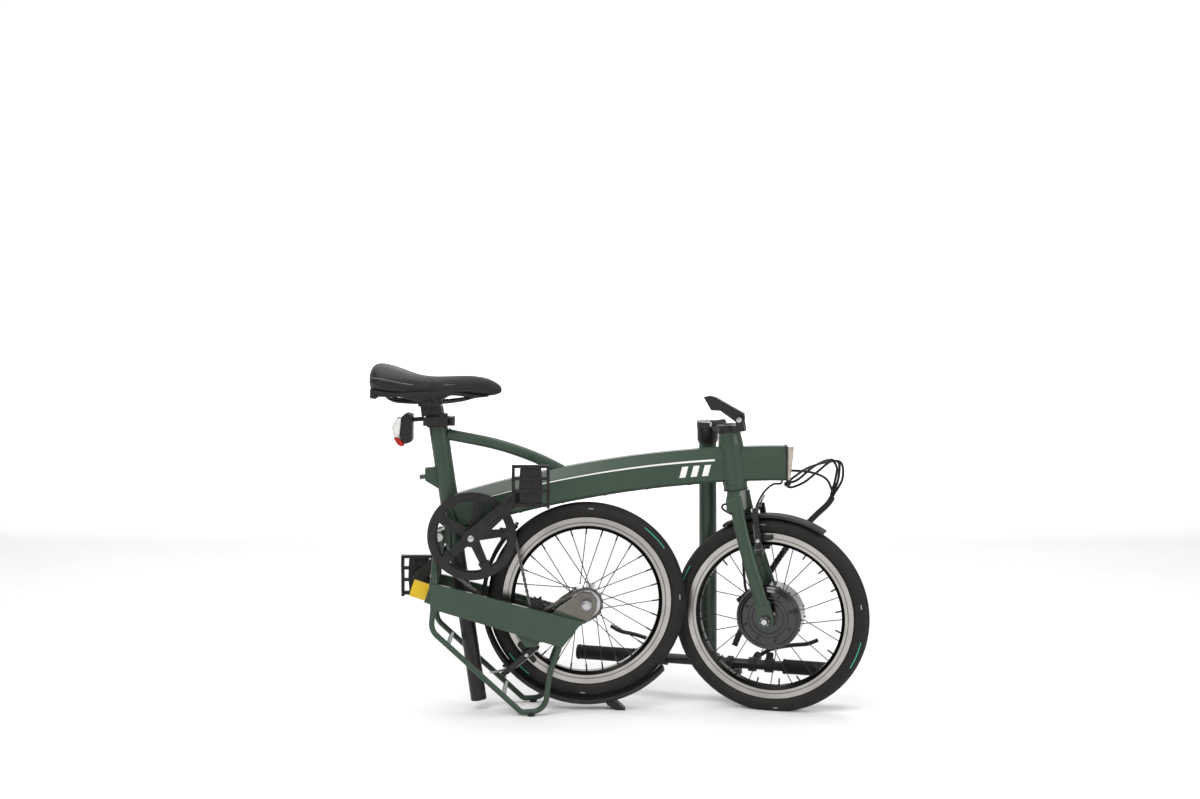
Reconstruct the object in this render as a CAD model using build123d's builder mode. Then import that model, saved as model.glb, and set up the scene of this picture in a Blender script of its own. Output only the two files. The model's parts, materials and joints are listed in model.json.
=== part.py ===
from build123d import *
import os
from math import asin, atan2, cos, degrees, hypot, pi, radians, sin, sqrt, tan

# Folding electric bicycle with sixteen inch wheels, standing folded: the rear wheel is swung under
# the main beam, the handlepost hangs on the left side and the saddle is lowered.
# Millimetres. X points to the front of the bicycle, Y to its left side, Z up, the floor is Z = 0.

# ---- driving dimensions -------------------------------------------------------------------------

ROW_ORIGIN = Vector(41.6, 49.3, 0.0)  # the point under the middle of the folded bicycle

# wheels: 37-349 tyres
TYRE_RADIUS = 211.5
TYRE_SECTION = 18.5
TYRE_CENTRE = TYRE_RADIUS - TYRE_SECTION
RIM_RADIUS = 180.0
RIM_BED = 154.0
RIM_HALF_WIDTH = 13.0
RIM_WALL = 2.2
SPOKE_RADIUS = 1.0
REAR_SPOKES = 28
FRONT_SPOKES = 20

# seat tube and seatpost
POST_LEAN = 8.0
POST_FOOT = Vector(-324.8, 0, 481.1)  # a point on the seatpost's axis
POST_RADIUS = 16.95
POST_BORE = 14.6
POST_FIT = 0.05
SEAT_TUBE_RADIUS = 20.0
SEAT_TUBE_BOTTOM = 352.0
SEAT_TUBE_TOP = 636.0
POST_BOTTOM = 25.0
LIMIT_MARK = 125.0  # height of the lowest engraved ring on the seatpost
POST_TOP = 655.0

# main beam: a box section bent to one long arc
BEAM_ARC = 2367.0
BEAM_ARC_X = 380.8
BEAM_TOP = 574.0
BEAM_HEIGHT = 73.0
BEAM_HALF_WIDTH = 22.0
BEAM_TOP_HALF = 13.0
BEAM_SHOULDER = 22.0  # height of the sloping shoulder under the top face
BEAM_EDGE = 5.0
BEAM_WALL = 3.0
BEAM_REAR_X = -318.0
BEAM_FRONT_X = 394.0

# bottom bracket and cranks
BB = Vector(-270.4, 0, 387.5)
BB_SHELL_RADIUS = 20.0
BB_BORE = 17.0
BB_HALF_SHELL = 34.0
CRANK_AXLE_RADIUS = 8.5
CRANK_LENGTH = 170.0
CRANK_ANGLE = 41.7
CRANK_INNER_Y = 72.0
CRANK_OUTER_Y = 86.0
CHAIN_PITCH = 12.7
RING_TEETH = 44
SPROCKET_TEETH = 16
PULLEY_TEETH = 8
CHAIN_Y = -46.0
CHAIN_HALF_WIDTH = 4.0
CHAIN_HALF_HEIGHT = 3.5
CHAIN_GAP = 0.3
GUARD_RADIUS = 94.0
GUARD_INNER = 77.0
RING_BOLT_CIRCLE = 66.0

# rear frame, folded under
PIVOT = Vector(-341.8, 0, 382.8)
REAR_AXLE = Vector(-28.4, 0, 242.0)
PIVOT_PIN_RADIUS = 7.0
AXLE_RADIUS = 6.0
STAY_INNER_Y = 56.0
STAY_OUTER_Y = 66.0
DROPOUT_INNER_Y = 51.0
UPPER_PULLEY = Vector(-132.0, 0, 241.0)
LOWER_PULLEY = Vector(-118.0, 0, 178.0)
TENSIONER_PIVOT = Vector(-86.0, 0, 213.0)
REAR_BRAKE_ANGLE = 221.0

# steering: the axis leans back and the fork sets the wheel ahead of it
STEER_POINT = Vector(289.0, 0, 485.0)
STEER_LEAN = degrees(atan2(14.0, 117.0))
FORK_RAKE = 45.0
REST_STEER = -17.0
HINGE_HEIGHT = 620.0
STEERER_RADIUS = 14.3
MOTOR_RADIUS = 70.0
MOTOR_HALF_WIDTH = 31.0
FORK_INNER_Y = 50.0

# handlepost and its hinge
HINGE_OFFSET = (-30.0, 30.0)
HINGE_DIRECTION = Vector(0.7054, 0.7071, 0.0493).normalized()
POST_FOLD = -174.3
HANDLEPOST_RADIUS = 19.0
HANDLEPOST_LENGTH = 536.0
BAR_RADIUS = 11.1
BAR_CLAMP_RADIUS = 12.7
BAR_HALF_LENGTH = 300.0
RUNNING_FIT = 0.05

# ---- places that follow from the dimensions -----------------------------------------------------

UP_POST = Vector(-sin(radians(POST_LEAN)), 0, cos(radians(POST_LEAN)))
STEER_UP = Vector(-sin(radians(STEER_LEAN)), 0, cos(radians(STEER_LEAN)))
STEER_AHEAD = Vector(cos(radians(STEER_LEAN)), 0, sin(radians(STEER_LEAN)))
STEER_ORIGIN = STEER_POINT + STEER_UP * ((HINGE_HEIGHT - STEER_POINT.Z) / STEER_UP.Z)
STEER_AXIS = Axis(tuple(STEER_ORIGIN), tuple(STEER_UP))
STEER_PLANE = Plane(origin=STEER_ORIGIN, x_dir=STEER_AHEAD, z_dir=STEER_UP)

RING_PITCH = CHAIN_PITCH / (2 * sin(pi / RING_TEETH))
SPROCKET_PITCH = CHAIN_PITCH / (2 * sin(pi / SPROCKET_TEETH))
PULLEY_PITCH = CHAIN_PITCH / (2 * sin(pi / PULLEY_TEETH))
BELOW_CHAIN = CHAIN_HALF_HEIGHT + CHAIN_GAP


def at_steer(ahead, left, up):
    """A point in the fork's own directions, from where the steering axis meets the post hinge."""
    return STEER_ORIGIN + STEER_AHEAD * ahead + Vector(0, left, 0) + STEER_UP * up


def front_axle_depth():
    """How far the axle lies below the post hinge along the steering axis, tyre on the floor."""
    lean = sin(radians(abs(REST_STEER))) * sin(radians(STEER_LEAN))
    lowest = TYRE_CENTRE * sqrt(1 - lean * lean) + TYRE_SECTION
    rise = FORK_RAKE * STEER_AHEAD.Z * cos(radians(REST_STEER))
    return (HINGE_HEIGHT + rise - lowest) / STEER_UP.Z


AXLE_DEPTH = front_axle_depth()
FRONT_AXLE = at_steer(FORK_RAKE, 0, -AXLE_DEPTH)
HINGE_POINT = at_steer(HINGE_OFFSET[0], HINGE_OFFSET[1], 0)
HINGE_AXIS = Axis(tuple(HINGE_POINT), tuple(HINGE_DIRECTION))


def on_post(height):
    """The point of the seatpost's axis at a height above the floor."""
    return POST_FOOT + UP_POST * ((height - POST_FOOT.Z) / UP_POST.Z)


# ---- shapes used by several parts ---------------------------------------------------------------

def side_plane(y):
    """A plane seen from the right side of the bicycle: local x is X, local y is Z."""
    return Plane(origin=(0, y, 0), x_dir=(1, 0, 0), z_dir=(0, -1, 0))


def side_slab(points, y_low, y_high, corner=0.0):
    """A flat plate between two Y values, with its outline given as X and Z."""
    with BuildPart() as slab:
        with BuildSketch(side_plane(y_high)) as outline:
            with BuildLine():
                Polyline(*points, close=True)
            make_face()
            if corner:
                fillet(outline.vertices(), corner)
        extrude(amount=y_high - y_low)
    return slab.part


def rod(start, end, radius, bore=0.0):
    """A round bar between two points, or a tube if it has a bore."""
    start = Vector(start)
    end = Vector(end)
    with BuildPart() as bar:
        with BuildSketch(Plane(origin=start, z_dir=end - start)):
            Circle(radius)
            if bore:
                Circle(bore, mode=Mode.SUBTRACT)
        extrude(amount=(end - start).length)
    return bar.part


def cross_rod(centre, y_low, y_high, radius, bore=0.0):
    """A round bar across the bicycle, along Y."""
    return rod((centre.X, y_low, centre.Z), (centre.X, y_high, centre.Z), radius, bore)


def corner_radius(before, corner, after, share=0.45):
    """The largest neat arc at a corner of a route: a share of the shorter run."""
    run_in = Vector(corner) - Vector(before)
    run_out = Vector(after) - Vector(corner)
    half_turn = radians(run_in.get_angle(run_out)) / 2
    return share * min(run_in.length, run_out.length) / tan(half_turn)


def pipe(points, radius, bore=0.0, radii=None):
    """A round tube along straight runs joined by tangent arcs."""
    if radii is None:
        radii = [corner_radius(*points[i - 1:i + 2]) for i in range(1, len(points) - 1)]
    with BuildPart() as tube:
        with BuildLine() as route:
            FilletPolyline(*points, radius=radii)
        with BuildSketch(Plane(origin=route.line @ 0, z_dir=route.line % 0)):
            Circle(radius)
            if bore:
                Circle(bore, mode=Mode.SUBTRACT)
        sweep()
    return tube.part


def cable(name, points, radius):
    """A cable's tube, with its bend radii and volume printed for checking."""
    radii = [corner_radius(*points[i - 1:i + 2]) for i in range(1, len(points) - 1)]
    tube = pipe(points, radius, radii=radii)
    with BuildLine() as route:
        FilletPolyline(*points, radius=radii)
    length = sum(edge.length for edge in route.edges())
    share = tube.volume / (pi * radius ** 2 * length)
    print(f"{name}: {length:.0f} mm, radii {[round(r) for r in radii]}, volume share {share:.4f}")
    return tube


def turned(profile, centre, direction, across):
    """A solid of revolution: profile points are (radius, distance along the axis)."""
    with BuildPart() as body:
        with BuildSketch(Plane(origin=centre, x_dir=across, z_dir=Vector(across).cross(direction))):
            with BuildLine():
                Polyline(*profile, close=True)
            make_face()
        revolve(axis=Axis(tuple(centre), tuple(direction)))
    return body.part


def joined(*pieces):
    """Pieces as one part; those that touch become one solid, the others stay separate."""
    with BuildPart() as group:
        for piece in pieces:
            add(piece)
    return group.part


def cut(piece, *tools):
    """A piece with the tools' volume taken out."""
    with BuildPart() as rest:
        add(piece)
        for tool in tools:
            add(tool, mode=Mode.SUBTRACT)
    return rest.part


def both_sides(piece):
    """A piece and its mirror image on the other side of the bicycle."""
    return joined(piece, mirror(piece, about=Plane.XZ))


def steered(piece):
    """Turns a piece of the front end from straight ahead to where it stands."""
    return piece.rotate(STEER_AXIS, REST_STEER)


def folded(piece):
    """Folds a piece of the handlepost down from riding position, then turns it with the fork."""
    return steered(piece.rotate(HINGE_AXIS, POST_FOLD))


def save(name, piece):
    """Labels a finished piece, moves it to the row's origin and writes its file."""
    placed = piece.moved(Location(-ROW_ORIGIN))
    placed.label = name
    export_step(placed, f"parts/{name}.step")


os.makedirs("parts", exist_ok=True)


# ---- main frame ---------------------------------------------------------------------------------

def beam_section(half_width, top_half, low, shoulder, high, edge):
    """The beam's outline across it, heights counted from the top face down."""
    return [
        (-half_width + edge, low),
        (half_width - edge, low),
        (half_width, low + edge),
        (half_width, shoulder),
        (top_half, high),
        (-top_half, high),
        (-half_width, shoulder),
        (-half_width, low + edge),
    ]


def along_beam(outline, x_rear, x_front, wall=0.0):
    """A section swept along the beam's arc between two X values."""
    rear_angle = asin((x_rear - BEAM_ARC_X) / BEAM_ARC)
    front_angle = asin((x_front - BEAM_ARC_X) / BEAM_ARC)
    centre = Vector(BEAM_ARC_X, 0, BEAM_TOP - BEAM_ARC)
    start = centre + Vector(sin(rear_angle), 0, cos(rear_angle)) * BEAM_ARC
    with BuildPart() as body:
        with BuildSketch(Plane(origin=start, x_dir=(0, 1, 0), z_dir=(cos(rear_angle), 0, -sin(rear_angle)))):
            with BuildLine():
                Polyline(*outline, close=True)
            make_face()
            if wall:
                offset(amount=-wall, kind=Kind.INTERSECTION, mode=Mode.SUBTRACT)
        revolve(axis=Axis(tuple(centre), (0, 1, 0)), revolution_arc=degrees(front_angle - rear_angle))
    return body.part


BEAM_OUTLINE = beam_section(
    BEAM_HALF_WIDTH, BEAM_TOP_HALF, -BEAM_HEIGHT, -BEAM_SHOULDER, 0.0, BEAM_EDGE
)
beam_body = along_beam(BEAM_OUTLINE, BEAM_REAR_X, BEAM_FRONT_X)
seat_tube_body = rod(on_post(SEAT_TUBE_BOTTOM), on_post(SEAT_TUBE_TOP), SEAT_TUBE_RADIUS)
bb_body = cross_rod(BB, -BB_HALF_SHELL, BB_HALF_SHELL, BB_SHELL_RADIUS)
bb_web = side_slab([(-316, 362), (-270, 372), (-270, 402), (-304, 416)], -15, 15)
head_tube_body = rod(at_steer(0, 0, -10), at_steer(0, 0, -141), 26.5)

with BuildPart() as main_beam:
    add(along_beam(BEAM_OUTLINE, BEAM_REAR_X, BEAM_FRONT_X, BEAM_WALL))
    add(seat_tube_body, mode=Mode.SUBTRACT)
    add(bb_body, mode=Mode.SUBTRACT)
    add(bb_web, mode=Mode.SUBTRACT)
    add(head_tube_body, mode=Mode.SUBTRACT)
save("main_beam", main_beam.part)

BATTERY_OUTLINE = beam_section(16.0, 8.0, -66.0, -26.0, -8.0, 4.0)
save("battery_pack", along_beam(BATTERY_OUTLINE, -225.0, 225.0))

HEAD_TUBE_PROFILE = [
    (21.0, -16.2), (24.0, -16.2), (24.0, -22.0), (26.5, -42.0), (26.5, -128.0),
    (25.5, -129.0), (25.5, -140.5), (21.0, -140.5),
]
head_tube = turned(HEAD_TUBE_PROFILE, STEER_ORIGIN, STEER_UP, STEER_AHEAD)
save("head_tube", head_tube)

with BuildPart() as seat_tube:
    add(seat_tube_body)
    add(bb_body)
    add(bb_web)
    add(cross_rod(PIVOT, -30, 30, 10.0))
    add(side_slab([(-342, 373), (-318, 362), (-318, 404), (-342, 392.5)], -24, 24))
    add(side_slab([(-372, 500), (-372, 527), (-330, 531), (-322, 484), (-346, 484)], -9, 9, 2.0))
    add(rod((-371, 0, 508), (-384, 0, 506.5), 5.0))
    add(rod(on_post(SEAT_TUBE_BOTTOM - 2), on_post(SEAT_TUBE_TOP + 2), POST_RADIUS + POST_FIT),
        mode=Mode.SUBTRACT)
    add(cross_rod(BB, -BB_HALF_SHELL - 1, BB_HALF_SHELL + 1, BB_BORE), mode=Mode.SUBTRACT)
    add(cross_rod(PIVOT, -31, 31, PIVOT_PIN_RADIUS + RUNNING_FIT), mode=Mode.SUBTRACT)
    with Locations((on_post(622).X - 20, 0, 622)):
        Box(20, 3, 60, mode=Mode.SUBTRACT)
save("seat_tube", seat_tube.part)

TOP_STAY_ROUTE = [(-324, 0, 598.2), (-215, 0, 577), (-130, 0, 547), (-53, 0, 505.5)]
top_stay_pieces = cut(pipe(TOP_STAY_ROUTE, 12.0, 10.0), seat_tube_body, beam_body).solids()
save("top_stay", joined(top_stay_pieces.sort_by(SortBy.VOLUME)[-1]))


def bearing(centre, direction, start, end, inner, outer):
    """A bearing ring around an axis, between two distances along it."""
    return rod(centre + direction * start, centre + direction * end, outer, inner)


frame_bearings = joined(
    bearing(STEER_ORIGIN, STEER_UP, -26, -18, STEERER_RADIUS + RUNNING_FIT, 21.0),
    bearing(STEER_ORIGIN, STEER_UP, -138, -130, STEERER_RADIUS + RUNNING_FIT, 21.0),
    bearing(BB, Vector(0, 1, 0), -33, -22, CRANK_AXLE_RADIUS + RUNNING_FIT, BB_BORE),
    bearing(BB, Vector(0, 1, 0), 22, 33, CRANK_AXLE_RADIUS + RUNNING_FIT, BB_BORE),
)
save("frame_bearings", frame_bearings)

# seat clamp: a split collar with two ears, a cross bolt and a cam lever on the right side
CLAMP_BOTTOM = 616.5
CLAMP_TOP = 640.0
CLAMP_RADIUS = 24.0
EAR = Vector(on_post(628).X + 31, 0, 628)
CAM = Vector(EAR.X, -22.0, EAR.Z)
CAM_RADIUS = 8.0

with BuildPart() as seat_clamp_collar:
    add(rod(on_post(CLAMP_BOTTOM), on_post(CLAMP_TOP), CLAMP_RADIUS))
    with Locations((EAR.X - 5, 0, EAR.Z)):
        Box(22, 24, 18)
    add(rod(on_post(CLAMP_BOTTOM - 1), on_post(SEAT_TUBE_TOP), SEAT_TUBE_RADIUS), mode=Mode.SUBTRACT)
    add(rod(on_post(CLAMP_BOTTOM), on_post(CLAMP_TOP + 1), POST_RADIUS + 0.4), mode=Mode.SUBTRACT)
    with Locations((EAR.X - 2, 0, EAR.Z)):
        Box(30, 3, 40, mode=Mode.SUBTRACT)
    add(rod((EAR.X, -13, EAR.Z), (EAR.X, 13, EAR.Z), 3.0), mode=Mode.SUBTRACT)
clamp_bolt = joined(
    rod((EAR.X, CAM.Y, EAR.Z), (EAR.X, 12, EAR.Z), 3.0),
    rod((EAR.X, 12, EAR.Z), (EAR.X, 17, EAR.Z), 6.0),
    rod((CAM.X, CAM.Y, CAM.Z - 3.2), (CAM.X, CAM.Y, CAM.Z + 3.2), 5.5),
    rod((CAM.X, CAM.Y, CAM.Z - 9), (CAM.X, CAM.Y, CAM.Z + 9), 3.0),
)
save("seat_clamp_collar", joined(seat_clamp_collar.part, clamp_bolt))

with BuildPart() as seat_clamp_lever:
    for low, high in ((CAM.Z - 9, CAM.Z - 3.5), (CAM.Z + 3.5, CAM.Z + 9)):
        add(rod((CAM.X, CAM.Y, low), (CAM.X, CAM.Y, high), CAM_RADIUS))
    with BuildSketch(Plane.XY.offset(CAM.Z - 9)):
        with BuildLine():
            Polyline(
                (CAM.X - 6.5, CAM.Y - 4), (CAM.X - 6.5, CAM.Y - 9), (CAM.X - 30, -33.5),
                (CAM.X - 58, -33), (CAM.X - 59, -28), (CAM.X - 30, -27.5), (CAM.X - 12, -27),
                close=True,
            )
        make_face()
    extrude(amount=18)
    add(rod((CAM.X, CAM.Y, CAM.Z - 10), (CAM.X, CAM.Y, CAM.Z + 10), 3.0 + RUNNING_FIT),
        mode=Mode.SUBTRACT)
save("seat_clamp_lever", seat_clamp_lever.part)

# lights
LENS_OUTLINE = [(394.3, 503), (394.3, 572.5), (408, 571), (406, 540), (402, 505)]
save("headlight_lens", side_slab(LENS_OUTLINE, -19, 19, 1.5))

LIGHT_BODY = [(-397, 641), (-411, 644), (-419, 638), (-424, 592), (-412, 579), (-398, 584)]
LIGHT_CLEAR = [(-419.6, 637), (-431, 632), (-440, 616), (-438, 596), (-424.5, 592.5)]
LIGHT_RED = [(-424.6, 591), (-438, 594), (-430, 578), (-420, 573), (-412.5, 577.5)]
rear_light = joined(
    side_slab(LIGHT_BODY, -23, 23, 2.0),
    side_slab([(-398, 625), (-398, 634), (-364, 636), (-364, 627)], -7, 7),
    side_slab(LIGHT_CLEAR, -20, 20, 1.5),
    side_slab(LIGHT_RED, -20, 20, 1.5),
)
save("rear_light", cut(rear_light, rod(on_post(600), on_post(660), CLAMP_RADIUS)))


# ---- seatpost and saddle ------------------------------------------------------------------------

limit_mark = rod(on_post(LIMIT_MARK), on_post(LIMIT_MARK + 1.0), POST_RADIUS + 1.0, POST_RADIUS - 0.4)
save("seatpost", cut(rod(on_post(POST_BOTTOM), on_post(POST_TOP), POST_RADIUS, POST_BORE), limit_mark))

RAIL_RADIUS = 3.5
RAIL_HEIGHT = 668.0
RAIL_ROUTE = [
    (-458, -30, 690), (-440, -26, 672), (-405, -22, RAIL_HEIGHT), (-325, -22, RAIL_HEIGHT),
    (-288, -15, 673), (-264, -9, 679.5),
]
saddle_rails = both_sides(pipe(RAIL_ROUTE, RAIL_RADIUS))
with BuildPart() as saddle_clamp:
    add(side_slab([(-377, 637.5), (-333, 643.7), (-336, 663), (-380, 663)], -21, 21, 2.0))
    add(side_slab([(-384, 660), (-338, 660), (-340, 677), (-382, 677)], -30, 30, 2.0))
    add(rod(on_post(POST_BOTTOM), on_post(POST_TOP), POST_RADIUS), mode=Mode.SUBTRACT)
    add(saddle_rails, mode=Mode.SUBTRACT)
save("saddle_clamp", joined(saddle_clamp.part, saddle_rails))

SADDLE_PAD_SIDE = [
    (-484, 700), (-485, 726), (-476, 744), (-464, 751), (-440, 745), (-420, 738), (-395, 728),
    (-368, 722), (-330, 721), (-290, 724), (-262, 723), (-240, 719), (-225, 713), (-212, 704),
    (-208, 695), (-214, 685), (-228, 679), (-262, 684), (-300, 690), (-360, 693), (-430, 693),
]
SADDLE_BASE_SIDE = [
    (-481, 699.4), (-430, 692.4), (-360, 692.4), (-300, 689.4), (-262, 683.4), (-236, 679.4),
    (-262, 677), (-300, 682), (-360, 685), (-420, 684), (-462, 684), (-468, 679), (-482, 680),
]
SADDLE_HALF_PLAN = [
    (-487, 0), (-486, 40), (-478, 66), (-455, 80), (-425, 80), (-395, 68), (-365, 48),
    (-330, 32), (-290, 24), (-250, 20), (-222, 16), (-209, 9), (-206, 0),
]


def saddle_piece(side, width_share):
    """A piece of the saddle: its side outline over its plan outline."""
    with BuildPart() as piece:
        with BuildSketch(Plane.XY.offset(660)):
            with BuildLine():
                Spline([(x, y * width_share) for x, y in SADDLE_HALF_PLAN])
                mirror(about=Plane.XZ)
            make_face()
        extrude(amount=120)
        add(side_slab(side, -90, 90), mode=Mode.INTERSECT)
    return piece.part


save("saddle_pad", saddle_piece(SADDLE_PAD_SIDE, 1.0))
saddle_base = saddle_piece(SADDLE_BASE_SIDE, 0.94)
save("saddle_base", cut(saddle_base, saddle_rails))


# ---- rear frame ---------------------------------------------------------------------------------

STAY_OUTLINE = [(-360, 288), (-337, 285), (-37, 206), (-80, 151), (-358, 235)]
STAY_CAVITY = [(-362, 283), (-338, 280.5), (-62, 208), (-86, 161), (-362, 242)]
DROPOUT_OUTLINE = [
    (-104, 219), (-86, 236), (-38, 268), (-17, 265), (-6, 250), (-8, 228), (-26, 204), (-100, 204),
]
STAY_TUBE_ROUTE = [(-345, -30, 364), (-350, -30, 312), (-352, -46, 268)]


def unit_at(angle):
    """Outward and along-the-rim directions at an angle around a wheel."""
    outward = Vector(cos(radians(angle)), 0, sin(radians(angle)))
    along = Vector(-sin(radians(angle)), 0, cos(radians(angle)))
    return outward, along


BRAKE_BOSS_RADIUS = 146.0
BRAKE_BOSS_Y = 37.0
PAD_CENTRE = 169.5
REAR_OUT, REAR_ALONG = unit_at(REAR_BRAKE_ANGLE)
REAR_BOSS = REAR_AXLE + REAR_OUT * BRAKE_BOSS_RADIUS

with BuildPart() as rear_half:
    add(side_slab(STAY_OUTLINE, -STAY_OUTER_Y, -STAY_INNER_Y))
    add(side_slab(STAY_CAVITY, -STAY_OUTER_Y + 1.5, -STAY_INNER_Y - 1.5), mode=Mode.SUBTRACT)
    add(side_slab(DROPOUT_OUTLINE, -STAY_INNER_Y, -DROPOUT_INNER_Y))
    add(cross_rod(PIVOT, -39, -30.5, 12.0))
    add(side_slab([(-353, 352), (-336, 352), (-332, 380), (-352, 380)], -39, -30.5))
    add(pipe(STAY_TUBE_ROUTE, 9.0))
    add(side_slab([(-190, 196), (-120, 176), (-132, 152), (-158, 150)], -STAY_INNER_Y, -51))
    add(rod(REAR_BOSS - REAR_ALONG * 19 + Vector(0, -BRAKE_BOSS_Y, 0),
            REAR_BOSS - REAR_ALONG * 7 + Vector(0, -BRAKE_BOSS_Y, 0), 7.0))
    add(rod(REAR_BOSS - REAR_ALONG * 13 + Vector(0, -BRAKE_BOSS_Y, 0),
            REAR_BOSS - REAR_ALONG * 13 + Vector(0, -STAY_INNER_Y, 0), 5.0))
    add(rod(REAR_BOSS - REAR_ALONG * 8 + Vector(0, -BRAKE_BOSS_Y, 0),
            REAR_BOSS + REAR_ALONG * 9 + Vector(0, -BRAKE_BOSS_Y, 0), 4.0))
    add(cross_rod(REAR_AXLE, -STAY_OUTER_Y - 1, -DROPOUT_INNER_Y + 1, AXLE_RADIUS), mode=Mode.SUBTRACT)
    add(cross_rod(PIVOT, -40, -30, PIVOT_PIN_RADIUS), mode=Mode.SUBTRACT)
rear_frame = joined(
    both_sides(rear_half.part),
    side_slab([(-372, 247), (-354, 241), (-344, 268), (-362, 274)], -STAY_INNER_Y, STAY_INNER_Y),
    cross_rod(TENSIONER_PIVOT, -DROPOUT_INNER_Y, -36.5, 5.0),
)
save("rear_frame", rear_frame)

save("rear_pivot_pin", joined(
    cross_rod(PIVOT, -40.5, 40.5, PIVOT_PIN_RADIUS),
    cross_rod(PIVOT, -40.8, -39.0, 9.0),
    cross_rod(PIVOT, 39.0, 40.8, 9.0),
))

AXLE_END_Y = 75.0
rear_axle = joined(
    cross_rod(REAR_AXLE, -AXLE_END_Y, AXLE_END_Y, AXLE_RADIUS),
    *[cut(cross_rod(REAR_AXLE, low, high, 10.5), cross_rod(REAR_AXLE, low - 1, high + 1, AXLE_RADIUS))
      for low, high in ((-66.5, -56.0), (56.0, 66.5))],
)
save("rear_axle", rear_axle)

ELASTOMER_START = Vector(-402.5, 0, 268.0)
ELASTOMER_END = Vector(-369.2, 0, 256.75)
save("suspension_block", rod(ELASTOMER_START, ELASTOMER_END, 18.5))

RAIL_Y = 61.0
RACK_ROUTE = [
    (-352.5, -RAIL_Y, 233), (-357, -RAIL_Y, 188), (-167, -RAIL_Y, 12), (-117, -RAIL_Y, 14),
    (-106, -RAIL_Y, 98), (-86, -RAIL_Y, 150.5),
]
RACK_RADII = [34.0, 12.0, 34.0, 90.0]


def rack_bar(x, z, radius=5.0):
    """A bar of the rack from rail to rail."""
    return rod((x, -RAIL_Y, z), (x, RAIL_Y, z), radius)


rack_tube = cut(pipe(RACK_ROUTE, 6.0, radii=RACK_RADII), side_slab(STAY_OUTLINE, -70, -50))
RACK_BARS = [(-322, 155.6), (-205, 47.2)]
save("rack", joined(both_sides(rack_tube), *[rack_bar(x, z) for x, z in RACK_BARS]))

FOOT_X = -146.0
FOOT_WIDTH = 14.0
parking_wedge = side_slab([(10, 24), (28, 28.5), (56, 3), (53, 0), (44, 0), (16, 15.4)], -16, 16)
rack_feet = both_sides(cut(
    rod((FOOT_X, -RAIL_Y, 0), (FOOT_X, -RAIL_Y, 10), 8.0),
    pipe(RACK_ROUTE, 6.0, radii=RACK_RADII),
))


def guard(centre, start, end, inner, thick, half_width, lip):
    """A mudguard: a shallow channel bent round the wheel between two angles."""
    profile = [
        (inner, -half_width + lip), (inner - lip, -half_width), (inner - lip + thick, -half_width - thick),
        (inner + thick, -half_width + lip - thick / 2), (inner + thick, half_width - lip + thick / 2),
        (inner - lip + thick, half_width + thick), (inner - lip, half_width), (inner, half_width - lip),
    ]
    outward, along = unit_at(start)
    with BuildPart() as body:
        with BuildSketch(Plane(origin=centre, x_dir=outward, z_dir=outward.cross(Vector(0, 1, 0)))):
            with BuildLine():
                Polyline(*profile, close=True)
            make_face()
        revolve(axis=Axis(tuple(centre), (0, -1, 0)), revolution_arc=end - start)
    return body.part


REAR_GUARD_INNER = 222.0
rear_guard = guard(REAR_AXLE, 132, 318, REAR_GUARD_INNER, 2.5, 21.0, 6.0)
save("rear_mudguard", rear_guard)
save("parking_feet", joined(
    rack_feet,
    cut(parking_wedge, cross_rod(REAR_AXLE, -30, 30, REAR_GUARD_INNER + 2.5)),
))


# ---- rim brakes ---------------------------------------------------------------------------------

def brake_arm(axle, out, along, side):
    """One arm of a rim brake with its pad, standing out from the wheel at the boss."""
    boss = axle + out * BRAKE_BOSS_RADIUS + Vector(0, side * BRAKE_BOSS_Y, 0)
    inward = Vector(0, -side, 0)
    with BuildPart() as arm:
        with BuildSketch(Plane(origin=boss - along * 6, x_dir=out, z_dir=along)) as face:
            y_sign = 1 if Vector(0, side, 0).dot(along.cross(out)) > 0 else -1
            with BuildLine():
                Polyline(
                    (-9, -4 * y_sign), (-9, 4 * y_sign), (60, 6 * y_sign), (92, 0), (92, -7 * y_sign),
                    (60, -3 * y_sign), (8, -6 * y_sign), close=True,
                )
            make_face()
            Circle(9)
        extrude(amount=12)
        add(rod(boss - along * 8, boss + along * 8, 4.0 + RUNNING_FIT), mode=Mode.SUBTRACT)
    pad_middle = axle + out * PAD_CENTRE + Vector(0, side * 15.6, 0)
    with BuildPart() as pad:
        with BuildSketch(Plane(origin=pad_middle, x_dir=along, z_dir=-inward)):
            Rectangle(50, 9)
        extrude(amount=9)
    stud = rod(pad_middle - inward * 9, pad_middle - inward * 16.0, 3.5)
    return joined(arm.part, pad.part, cut(stud, arm.part))


for side, name in ((-1, "right"), (1, "left")):
    arm = brake_arm(REAR_AXLE, REAR_OUT, REAR_ALONG, side)
    save(f"rear_brake_arm_{name}", arm)

FRONT_OUT = STEER_UP
FRONT_ALONG = STEER_AHEAD * -1
for side, name in ((-1, "right"), (1, "left")):
    arm = brake_arm(FRONT_AXLE, FRONT_OUT, FRONT_ALONG, side)
    save(f"front_brake_arm_{name}", steered(arm))


# ---- wheels -------------------------------------------------------------------------------------

def around(axle, points):
    """A ring about a wheel's axle: points are (radius, distance along Y)."""
    return turned(points, axle, Vector(0, 1, 0), Vector(1, 0, 0))


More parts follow.
